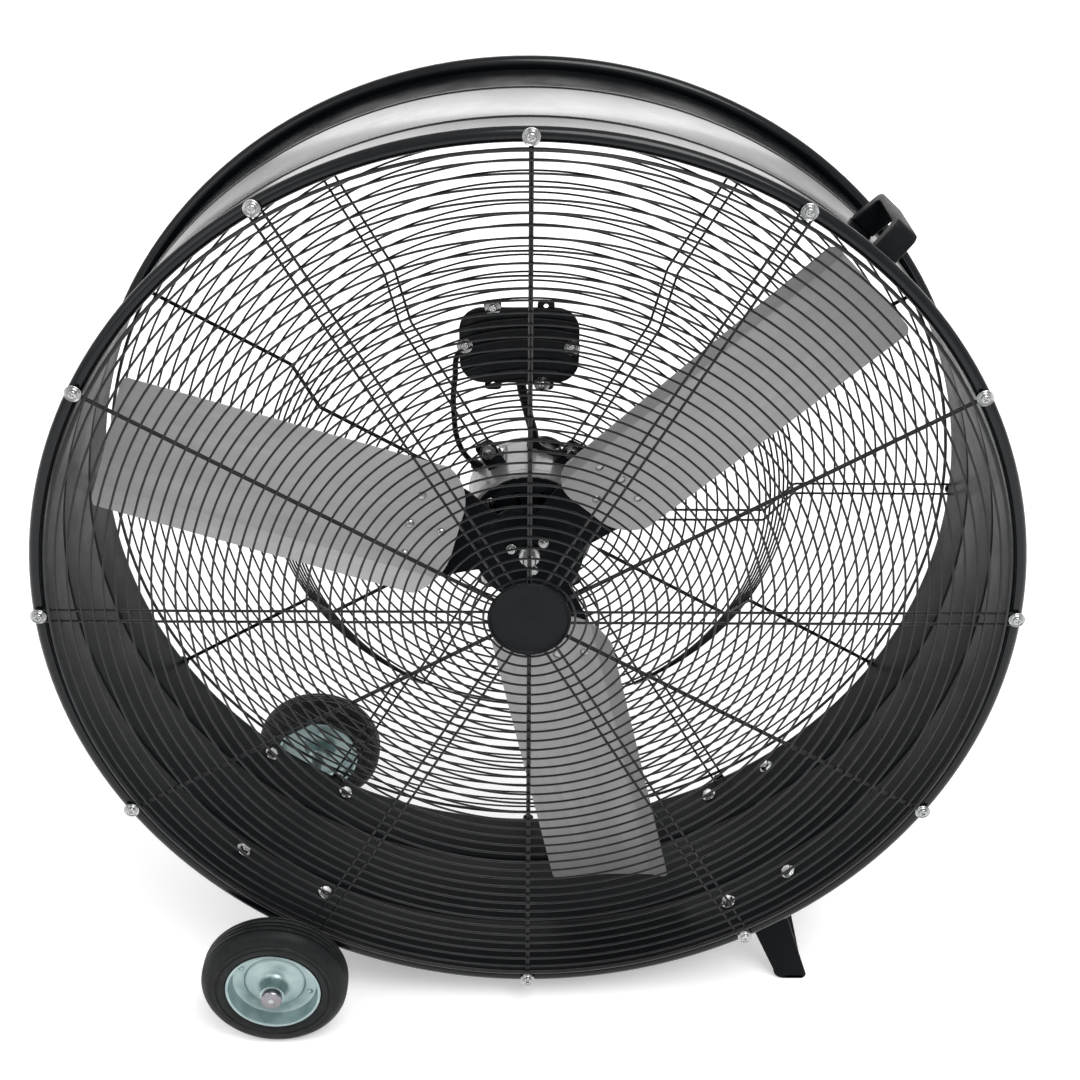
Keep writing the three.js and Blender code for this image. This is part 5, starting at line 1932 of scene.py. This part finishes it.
@dataclass
class Leads:
    """The conduit and the thinner lead from box to motor, with their nuts and the gland."""

    depth: float = 272.75 * MILLI
    conduit: float = 6 * MILLI
    lead: float = 3.5 * MILLI
    conduit_way: Pairs = ((-13, 187.4), (-13, 176), (-2, 120), (5, 89.5), (5, 78.1))
    lead_way: Pairs = (
        (-69.6, 206), (-81, 206), (-91, 166), (-93, 123), (-86, 76), (-71.3, 54.1), (-62.2, 47.2))
    gland_at: tuple[float, float] = (19, 187.7)
    collar: tuple[float, float] = (12.5 * MILLI, 19 * MILLI)
    collar_rise: tuple[float, float] = (-1.5 * MILLI, 8 * MILLI)
    collar_at: tuple[float, float] = (23, 73.5)

    def _tube(self, plan: Plan, name: str, way: Pairs, radius: float) -> Piece:
        """Draws a smooth way through the points and gives it a round section."""
        base = plan.axis_at(self.depth)
        Bench.clear()
        bpy.ops.curve.primitive_bezier_curve_add(radius=MILLI)
        curve = bpy.context.object
        spline = curve.data.splines[0]
        spline.bezier_points.add(len(way) - len(spline.bezier_points))
        for point, (x, z) in zip(spline.bezier_points, way):
            point.co = base + Vector((x * MILLI, 0.0, z * MILLI))
            point.handle_left_type = "AUTO"
            point.handle_right_type = "AUTO"
        curve.location = (0, 0, 0)
        curve.data.bevel_depth = radius
        curve.data.bevel_resolution = 6
        curve.data.resolution_u = 16
        curve.data.use_fill_caps = True
        bpy.ops.object.convert(target="MESH")
        return Bench.smooth(Bench.named(name))

    def _nut(self, name: str, radius: float, height: float) -> Piece:
        """Models a cable gland: hexagon and dome nut, pointing along -Y."""
        base = Bench.soften(Bench.added(
            "base", bpy.ops.mesh.primitive_cylinder_add, vertices=6, radius=radius,
            depth=0.32 * height, location=(0, -0.16 * height, 0), rotation=(TURN / 4, 0, 0)),
            0.5 * MILLI)
        bore = 0.42 * radius
        dome = Bench.turned("dome", [
            (bore, -0.3 * height), (0.86 * radius, -0.3 * height), (0.86 * radius, -0.7 * height),
            (0.8 * radius, -0.82 * height), (0.62 * radius, -0.95 * height),
            (0.56 * radius, -height), (bore, -height),
        ], Vector(), 48, closed=True)
        return Bench.smooth(Bench.joined([base, dome], name))

    def build(self, shop: Workshop) -> None:
        """Runs both leads and screws on the nuts and the gland."""
        plan = shop.plan
        finishes = shop.finishes
        rows = (("conduit", self.conduit_way, self.conduit, "motor_conduit"),
                ("thin_lead", self.lead_way, self.lead, "motor_lead"))
        for name, way, radius, node in rows:
            tube = self._tube(plan, name, way, radius)
            shop.dress(tube, Body.FRAME, Slot.LEAD, finishes.jacket, node)
        base = plan.axis_at(self.depth)
        down = Vector((0, 0, -1))
        flank = Vector((self.lead_way[-2][0] - self.lead_way[-1][0], 0,
                        self.lead_way[-2][1] - self.lead_way[-1][1]))
        nuts = (
            ("gland_body", 11, 17, self.gland_at, down, ("cable_gland",)),
            ("conduit_nut_box", 13, 13, self.conduit_way[0], down, ()),
            ("conduit_nut_motor", 10, 12, self.conduit_way[-1], -down, ()),
            ("lead_nut_box", 8, 11, self.lead_way[0], Vector((-1, 0, 0)), ()),
            ("lead_nut_motor", 8, 11, self.lead_way[-1], flank, ()),
        )
        for name, radius, height, (x, z), facing, nodes in nuts:
            nut = self._nut(name, radius * MILLI, height * MILLI)
            nut.data.transform(Fastener.seat(base + Vector((x, 0, z)) * MILLI, facing))
            shop.dress(nut, Body.FRAME, Slot.MOULDING, finishes.moulding, *nodes)
        self._collar(shop)

    def _collar(self, shop: Workshop) -> None:
        """Turns the open black collar on the top of the motor, beside the conduit."""
        inner, outer = self.collar
        foot, top = self.collar_rise
        soft = 1.5 * MILLI
        ring = Bench.turned("motor_collar", [
            (inner, -foot), (outer - soft, -foot), (outer, -foot - soft), (outer, soft - top),
            (outer - soft, -top), (inner + soft, -top), (inner, soft - top),
        ], Vector(), 48, closed=True)
        x, z = self.collar_at
        at = shop.plan.axis_at(self.depth) + Vector((x, 0.0, z)) * MILLI
        ring.data.transform(Fastener.seat(at, Vector((x, 0.0, z))))
        shop.dress(ring, Body.FRAME, Slot.MOULDING, shop.finishes.moulding)


# ---- handle ----------------------------------------------------------------------------------
@dataclass
class Handle:
    """The moulded grip along the drum."""

    clock: float = 42.1
    depth: float = 118 * MILLI
    bore: float = 533.5 * MILLI
    foot: float = 535.4 * MILLI
    top: float = 577.3 * MILLI
    half: float = 48 * MILLI
    spread: float = 9 * MILLI
    leg: float = 14 * MILLI
    web: float = 8 * MILLI
    side: float = 15 * MILLI

    def _wedge(
        self, plan: Plan, foot_half: float, top_half: float, low: float, high: float,
        side: float, corner: float,
    ) -> Piece:
        """A block that narrows upward, with its two upper edges rounded."""
        base = plan.point(low, 0.0, self.depth)
        peak = plan.point(high, 0.0, self.depth)
        block = Bench.block(
            "wedge", base - Vector((side, foot_half, 0)), peak + Vector((side, foot_half, 0)))
        with Bench.editing(block):
            Bench.pick(block, "FACE", lambda face: face.normal.z > NEAR_LEVEL)
            bpy.ops.transform.resize(value=(1, top_half / foot_half, 1), center_override=peak)
            Bench.bevel(block, corner, 8, lambda edge: (
                min(vert.co.z for vert in edge.verts) > peak.z - MERGE
                and abs(edge.verts[0].co.x - edge.verts[1].co.x) > MERGE))
        return block

    def build(self, shop: Workshop) -> None:
        """Cuts the grip's opening, rounds it and bolts it to the drum."""
        plan = shop.plan
        grip = self._wedge(
            plan, self.half + self.spread, self.half, self.foot, self.top, self.side, 8 * MILLI)
        inner = self.half - self.leg
        sunk = 6 * MILLI
        slope = self.spread / (self.top - self.foot)
        hollow = self._wedge(
            plan, inner + self.spread + sunk * slope, inner + self.web * slope,
            self.foot - sunk, self.top - self.web, 2 * self.side, 5 * MILLI)
        Bench.cut(grip, hollow)
        Bench.soften(grip, 2.2 * MILLI, 4)
        grip.name = "grip_moulding"
        grip.data.transform(plan.turned(self.clock))
        shop.dress(grip, Body.FRAME, Slot.MOULDING, shop.finishes.moulding, "handle")
        screw = Fastener(Head.PAN, 4.6 * MILLI, 3 * MILLI, washer=8 * MILLI).model(
            "grip_screw", shop.finishes.steel, shop.finishes.washer)
        reach = self.half + self.spread - self.leg / 2
        shop.repeat(screw, (
            (f"grip_screw_{i + 1}", plan.turned(self.clock) @ Fastener.seat(
                plan.point(self.bore, 0.0, self.depth + along), Vector((0, 0, -1)), 35.0))
            for i, along in enumerate((-reach, reach))))


# ---- wheels, brackets and foot ---------------------------------------------------------------
@dataclass
class Wheels:
    """Two ribbed rubber tyres on dished zinc-plated hubs, their axle and its caps."""

    x: float = -309 * MILLI
    radius: float = 89 * MILLI
    front: float = -43 * MILLI
    rear: float = 419 * MILLI
    axle: float = 8 * MILLI
    axle_ends: tuple[float, float] = (-75 * MILLI, 451 * MILLI)
    cap: float = 13 * MILLI
    cap_height: float = 5 * MILLI
    rivet_clocks: tuple[float, float] = (-62.0, 112.0)
    rivet_circle: float = 45 * MILLI
    rivet_seat: float = 3.5 * MILLI
    tread: Pairs = (
        (58, 18.5), (59, 20.9), (62, 22.5), (67, 22.5), (67.6, 21.6), (69.4, 21.6), (70, 22.5),
        (73, 22.4), (73.8, 21.3), (76.5, 21), (79.5, 20.6), (83, 18.5), (86.2, 15.1),
        (88, 11.9), (88.5, 10.5), (87.1, 9.9), (87.1, 8.7), (88.8, 8.1), (89, 4.1),
        (87.4, 3.5), (87.4, 2.1), (89, 1.5))
    hub_outer: Pairs = (
        (8.4, 29), (13.6, 29), (15, 28.2), (15, 15), (16.2, 11.5), (19.5, 8.6), (25, 7.2),
        (34, 6.6), (36.5, 5.8), (38, 4.2), (41, 3.6), (49, 3.4), (51.4, 4.6), (52.6, 7.5),
        (53.6, 19.4), (54.6, 21.9), (56.4, 22.5), (57.7, 21.8))
    hub_inner: Pairs = (
        (57.7, -21.8), (56.4, -22.5), (54.6, -21.9), (53.6, -19.4), (52.6, -3), (50, -0.6),
        (40, -0.4), (36, 1.6), (24, 1.8), (17, -4), (15, -8), (15, -28.2), (13.6, -29),
        (8.4, -29))
    segments: int = 128

    def at(self, plan: Plan, depth: float) -> Vector:
        """The axle's middle line at a depth."""
        return Vector((self.x, plan.datum + depth, self.radius))

    def _tyre(self, shop: Workshop, end: str, body: Body, depth: float) -> None:
        """Turns a tyre with its sidewall rings and tread grooves."""
        near = [(r * MILLI, -a * MILLI) for r, a in self.tread]
        far = [(r * MILLI, a * MILLI) for r, a in reversed(self.tread)]
        tyre = Bench.turned(
            f"tyre_rubber_{end}", [*near, *far], self.at(shop.plan, depth), self.segments,
            closed=True)
        shop.dress(tyre, body, Slot.TYRE, shop.finishes.tyre, f"tyre_{end}")

    def _hub(self, shop: Workshop, end: str, body: Body, depth: float, out: float) -> None:
        """Turns a hub: rim lip, dish, stepped web, cone and tube; adds its two rivets."""
        at = self.at(shop.plan, depth)
        rows = (*self.hub_outer, *self.hub_inner)
        profile = [(r * MILLI, out * a * MILLI) for r, a in rows]
        hub = Bench.turned(f"hub_pressing_{end}", profile, at, self.segments, closed=True)
        shop.dress(hub, body, Slot.ZINC, shop.finishes.zinc, f"wheel_hub_{end}")
        rivet = Fastener(Head.RIVET, 3.6 * MILLI, 2 * MILLI).model(
            "web_rivet", shop.finishes.zinc, shop.finishes.zinc)
        angles = (math.radians(clock) for clock in self.rivet_clocks)
        places = ((math.sin(angle) * self.rivet_circle, out * self.rivet_seat,
                   math.cos(angle) * self.rivet_circle) for angle in angles)
        shop.repeat(rivet, (
            (f"web_rivet_{end}_{i + 1}",
             Fastener.seat(at + Vector(place), Vector((0.0, out, 0.0))))
            for i, place in enumerate(places)), body, Slot.ZINC)

    def _axle(self, shop: Workshop) -> None:
        """Turns the axle, and a cap with its pin for each end."""
        first, last = self.axle_ends
        edge = 1 * MILLI
        axle = Bench.turned("axle_bar", [
            (0.0, first), (self.axle - edge, first), (self.axle, first + edge),
            (self.axle, last - edge), (self.axle - edge, last), (0.0, last),
        ], self.at(shop.plan, 0.0), 64)
        shop.dress(axle, Body.FRAME, Slot.STEEL, shop.finishes.steel, "axle")
        gap = 0.3 * MILLI
        for end, foot, way in (("front", first - gap, -1.0), ("rear", last + gap, 1.0)):
            tall = self.cap_height
            cap = Bench.turned(f"cap_{end}", [
                (0.0, foot), (self.cap, foot), (self.cap, foot + way * 0.55 * tall),
                (self.cap - edge, foot + way * 0.8 * tall),
                (0.7 * self.cap, foot + way * 0.9 * tall), (0.0, foot + way * 0.9 * tall),
            ], self.at(shop.plan, 0.0), 64)
            node = f"axle_cap_{end}"
            shop.dress(cap, Body.FRAME, Slot.MOULDING, shop.finishes.cap, node)
            pin = Fastener(Head.RIVET, 3.4 * MILLI, 1.2 * MILLI).model(
                f"cap_pin_{end}", shop.finishes.steel, shop.finishes.steel)
            seat = self.at(shop.plan, foot + way * 0.88 * tall)
            pin.data.transform(Fastener.seat(seat, Vector((0, way, 0))))
            shop.dress(pin, Body.FRAME, Slot.STEEL, shop.finishes.steel)

    def build(self, shop: Workshop) -> None:
        """Builds both wheels and their axle."""
        rows = (("front", Body.WHEEL_FRONT, self.front, -1.0),
                ("rear", Body.WHEEL_REAR, self.rear, 1.0))
        for end, body, depth, out in rows:
            self._tyre(shop, end, body, depth)
            self._hub(shop, end, body, depth, out)
        self._axle(shop)


@dataclass
class Undercarriage:
    """The wheel brackets and the foot, all bolted through the drum wall."""

    wall: float = 535.8 * MILLI
    inside: float = 533.5 * MILLI
    bracket_clocks: tuple[float, float] = (203.5, 227.5)
    bracket_sheet: float = 4 * MILLI
    bracket_flange: float = 28 * MILLI
    bracket_faces: tuple[float, float] = (56 * MILLI, 290 * MILLI)
    eye: float = 19 * MILLI
    foot_x: float = 341.5 * MILLI
    foot_clocks: tuple[float, float] = (139.0, 154.5)
    foot_sheet: float = 5 * MILLI
    foot_flange: float = 30 * MILLI
    foot_faces: tuple[float, float] = (47 * MILLI, 290 * MILLI)
    foot_half: float = 21.5 * MILLI
    foot_top_half: float = 26 * MILLI
    foot_corner: float = 7 * MILLI
    foot_heel: float = 15 * MILLI
    strap: float = 7 * MILLI
    bracket_bolts: Pairs = ((222.3, 73), (209.2, 73), (221.5, 274), (208.6, 277))
    foot_bolts: Pairs = ((141.8, 62), (151.2, 60), (141.9, 275), (151.7, 275))

    def _wall_arc(
        self, plan: Plan, radius: float, clocks: tuple[float, float], steps: int
    ) -> list[tuple[float, float]]:
        """Points of an arc along the drum's wall, as (x, z)."""
        rows = []
        for i in range(steps + 1):
            clock = clocks[0] + (clocks[1] - clocks[0]) * i / steps
            point = plan.point(radius, clock, 0.0)
            rows.append((point.x, point.z))
        return rows

    def _strip(
        self, plan: Plan, clocks: tuple[float, float], sheet: float, near: float, far: float
    ) -> Piece:
        """The flange that lies on the drum's wall."""
        inner = self._wall_arc(plan, self.wall, clocks, 14)
        outer = self._wall_arc(plan, self.wall + sheet, clocks, 14)
        strip = Bench.outline(
            "strip", [*inner, *reversed(outer)], plan.datum + near, plan.datum + far)
        return strip

    def _bracket(self, shop: Workshop, end: str, face: float, way: float) -> None:
        """Cuts a bracket's web, bores its eye and joins its flange."""
        plan = shop.plan
        wheels = Wheels()
        axle = wheels.at(plan, face + way * self.bracket_sheet / 2)
        outward = math.atan2(axle.z - plan.height, axle.x)
        rows = self._wall_arc(plan, self.wall, self.bracket_clocks, 14)
        for i in range(17):
            angle = outward - TURN / 4 + TURN / 2 * i / 16
            rows.append((axle.x + self.eye * math.cos(angle), axle.z + self.eye * math.sin(angle)))
        ends = sorted((face, face + way * self.bracket_sheet))
        order = rows[:15][::-1] + rows[15:]
        web = Bench.outline("web", order, plan.datum + ends[0], plan.datum + ends[1])
        Bench.bored(web, axle, 8.3 * MILLI, 4 * self.bracket_sheet)
        Bench.soften(web, 0.8 * MILLI)
        ends = sorted((face, face + way * self.bracket_flange))
        strip = self._strip(plan, self.bracket_clocks, self.bracket_sheet, *ends)
        Bench.soften(strip, 1.2 * MILLI, 3)
        whole = Bench.smooth(Bench.joined([web, strip], f"bracket_{end}"))
        node = f"wheel_bracket_{end}"
        # Takes the duller black paint, the one whose weak reflection is painted shade inside the
        # drum.
        shop.dress(whole, Body.FRAME, Slot.PAINT, shop.finishes.inside, node)

    def _leg_rows(self, plan: Plan) -> list[tuple[float, float]]:
        """The leg's outline, from the drum's wall to the floor, as (x, z)."""
        middle = sum(self.foot_clocks) / 2
        spread = math.degrees(math.asin(self.foot_top_half / self.wall))
        rows = self._wall_arc(plan, self.wall, (middle + spread, middle - spread), 8)
        right = self.foot_x + self.foot_half
        left = self.foot_x - self.foot_half
        corner = self.foot_corner
        heel = self.foot_heel
        for i in range(9):
            angle = TURN / 4 * i / 8
            rows.append((right - corner + corner * math.cos(angle),
                         corner - corner * math.sin(angle)))
        for i in range(9):
            angle = TURN / 4 * i / 8
            rows.append((left + heel - heel * math.sin(angle), heel - heel * math.cos(angle)))
        return rows

    def _foot(self, shop: Workshop) -> None:
        """Cuts both legs and the strap, joins their flanges."""
        plan = shop.plan
        near, far = self.foot_faces
        legs = ((near, near + self.foot_sheet), (far - self.foot_sheet, far))
        parts = []
        for ends in legs:
            leg = Bench.outline("leg", self._leg_rows(plan), *(plan.datum + y for y in ends))
            parts.append(Bench.soften(leg, 1.2 * MILLI, 3))
        strap = Bench.block(
            "strap", Vector((self.foot_x - self.foot_half + self.foot_heel, plan.datum + near, 0)),
            Vector((self.foot_x + self.foot_half - 3 * MILLI, plan.datum + far, self.strap)))
        parts.append(Bench.soften(strap, 1.5 * MILLI, 3))
        for ends in ((near, near + self.foot_flange), (far - self.foot_flange, far)):
            strip = self._strip(plan, self.foot_clocks, self.foot_sheet, *ends)
            parts.append(Bench.soften(strip, 1.2 * MILLI, 3))
        whole = Bench.smooth(Bench.joined(parts, "foot_bent"))
        # Takes the duller black paint, the one whose weak reflection is painted shade inside the
        # drum.
        shop.dress(whole, Body.FRAME, Slot.PAINT, shop.finishes.inside, "foot_stand")

    def _bolts(self, shop: Workshop) -> None:
        """Bolts every flange through the wall: nuts and washers inside, heads outside."""
        plan = shop.plan
        nut = Fastener(Head.HEX, 7 * MILLI, 6 * MILLI, washer=9.5 * MILLI).model(
            "wall_nut", shop.finishes.steel, shop.finishes.washer)
        rows = [(row, self.bracket_sheet) for row in self.bracket_bolts]
        rows += [(row, self.foot_sheet) for row in self.foot_bolts]
        places = []
        for i, ((clock, depth), sheet) in enumerate(rows):
            outward = plan.point(1.0, clock, 0.0) - plan.axis_at(0.0)
            for side, radius, facing in (("inside", self.inside, -outward),
                                         ("outside", self.wall + sheet, outward)):
                at = plan.point(radius, clock, depth * MILLI)
                places.append((f"wall_bolt_{i + 1}_{side}", Fastener.seat(at, facing, 33.0 * i)))
        shop.repeat(nut, places)

    def build(self, shop: Workshop) -> None:
        """Builds the brackets, the foot and their bolts."""
        front, rear = self.bracket_faces
        self._bracket(shop, "front", front, 1.0)
        self._bracket(shop, "rear", rear, -1.0)
        self._foot(shop)
        self._bolts(shop)


# ---- the studio ------------------------------------------------------------------------------
@dataclass
class Studio:
    """The pale floor and backdrop, the soft lamps, and the photograph's camera."""

    eye: tuple[float, float, float] = (-0.0010, -1.6778, 1.5475)
    azimuth: float = 0.0126
    down: float = 0.4855
    roll: float = 0.0104
    lens: float = 53.22
    sensor: float = 36.0
    shift: tuple[float, float] = (-0.00625, -0.0568)
    floor: float = 14.0
    wall: float = 8.0
    sweep: float = 2.5
    room: float = 0.6
    shine: float = 0.3
    aim: tuple[float, float, float] = (0.0, 0.0, 0.6)

    def _floor(self) -> None:
        """Lays the floor and curves it up into a backdrop."""
        floor = Bench.added(
            "studio_floor", bpy.ops.mesh.primitive_plane_add, size=self.floor,
            location=(0, 1.0, 0))
        back = floor.data.vertices[2].co.y
        with Bench.editing(floor, "EDGE"):
            Bench.pick(floor, "EDGE", lambda edge: all(
                vert.co.y > back - MERGE for vert in edge.verts))
            Bench.pull(0, 0, self.wall)
            Bench.bevel(floor, self.sweep, 16, lambda edge: all(
                vert.co.y > back - MERGE and vert.co.z < MERGE for vert in edge.verts))
        Bench.smooth(floor)
        tree = Tree("studio_paper")
        tone = tree.ramped(tree.noise(0.6, 2.0), 0.3, 0.7)
        tree.colour(tree.mixed(tone, (0.93, 0.93, 0.93), (0.95, 0.95, 0.95)))
        tree.constant(Roughness=0.85)
        tree.glow(self.shine)
        floor.data.materials.append(tree.material)

    def _world(self) -> None:
        """A soft bright room of white light."""
        world = bpy.data.worlds.new("studio_room")
        bpy.context.scene.world = world
        world.use_nodes = True
        background = world.node_tree.nodes["Background"]
        background.inputs["Color"].default_value = (1.0, 1.0, 1.0, 1.0)
        background.inputs["Strength"].default_value = self.room

    def _lamp(
        self, name: str, at: Vector, towards: Vector, size: tuple[float, float], power: float,
        mirrored: bool = True,
    ) -> None:
        """Hangs one soft box.

        Args:
            name: The lamp's name.
            at: Its place.
            towards: What it lights.
            size: Width and height.
            power: Its watts.
            mirrored: Whether gloss shows it.
        """
        Bench.clear()
        bpy.ops.object.light_add(type="AREA", location=at)
        lamp = bpy.context.object
        lamp.name = name
        lamp.data.shape = "RECTANGLE"
        lamp.data.size, lamp.data.size_y = size
        lamp.data.energy = power
        lamp.visible_glossy = mirrored
        lamp.rotation_euler = (towards - at).to_track_quat("-Z", "Y").to_euler()

    def _camera(self) -> None:
        """Stands the camera where the photograph was taken from."""
        Bench.clear()
        bpy.ops.object.camera_add(location=self.eye)
        camera = bpy.context.object
        camera.name = "photo_camera"
        level = math.cos(self.down)
        look = Vector((
            math.sin(self.azimuth) * level, math.cos(self.azimuth) * level, -math.sin(self.down)))
        right = look.cross(UP).normalized()
        up = right.cross(look)
        side = math.cos(self.roll) * right + math.sin(self.roll) * up
        head = math.cos(self.roll) * up - math.sin(self.roll) * right
        axes = Matrix((side, head, -look)).transposed().to_4x4()
        camera.matrix_world = Matrix.Translation(Vector(self.eye)) @ axes
        camera.data.sensor_width = self.sensor
        camera.data.lens = self.lens
        camera.data.shift_x, camera.data.shift_y = self.shift
        bpy.context.scene.camera = camera

    def build(self) -> None:
        """Sets up the whole studio."""
        self._floor()
        self._world()
        middle = Vector(self.aim)
        self._lamp("key_box", Vector((1.0, -2.0, 3.7)), middle, (2.2, 2.2), 110.0)
        self._lamp("fill_box", Vector((-2.8, -2.4, 2.2)), middle, (2.4, 2.4), 24.0)
        self._lamp("rim_box", Vector((0.0, 3.4, 2.1)), middle, (4.0, 1.2), 36.0)
        self._lamp(
            "far_box", Vector((0.0, 5.5, 4.5)), Vector((0, 6.0, 0)), (9.0, 4.0), 105.0, False)
        self._camera()
        bpy.context.scene.view_settings.view_transform = "Standard"


def main() -> None:
    """Builds every sub-assembly in order, then the studio."""
    logging.basicConfig(level=logging.INFO)
    shop = Workshop(PLAN, Finishes())
    Drum().build(shop)
    Guard("front_guard", 2.45 * MILLI, rings_in_front=True).build(shop)
    RearGuard("rear_guard", 308.55 * MILLI, rings_in_front=False).build(shop)
    GuardDisc().build(shop)
    RimScrews().build(shop)
    Rotor().build(shop)
    Motor().build(shop)
    Mounts().build(shop)
    ControlBox().build(shop)
    Leads().build(shop)
    Handle().build(shop)
    Wheels().build(shop)
    Undercarriage().build(shop)
    Studio().build()
    LOG.info("%d pieces made", len(shop.made))


if __name__ == "__main__":
    main()
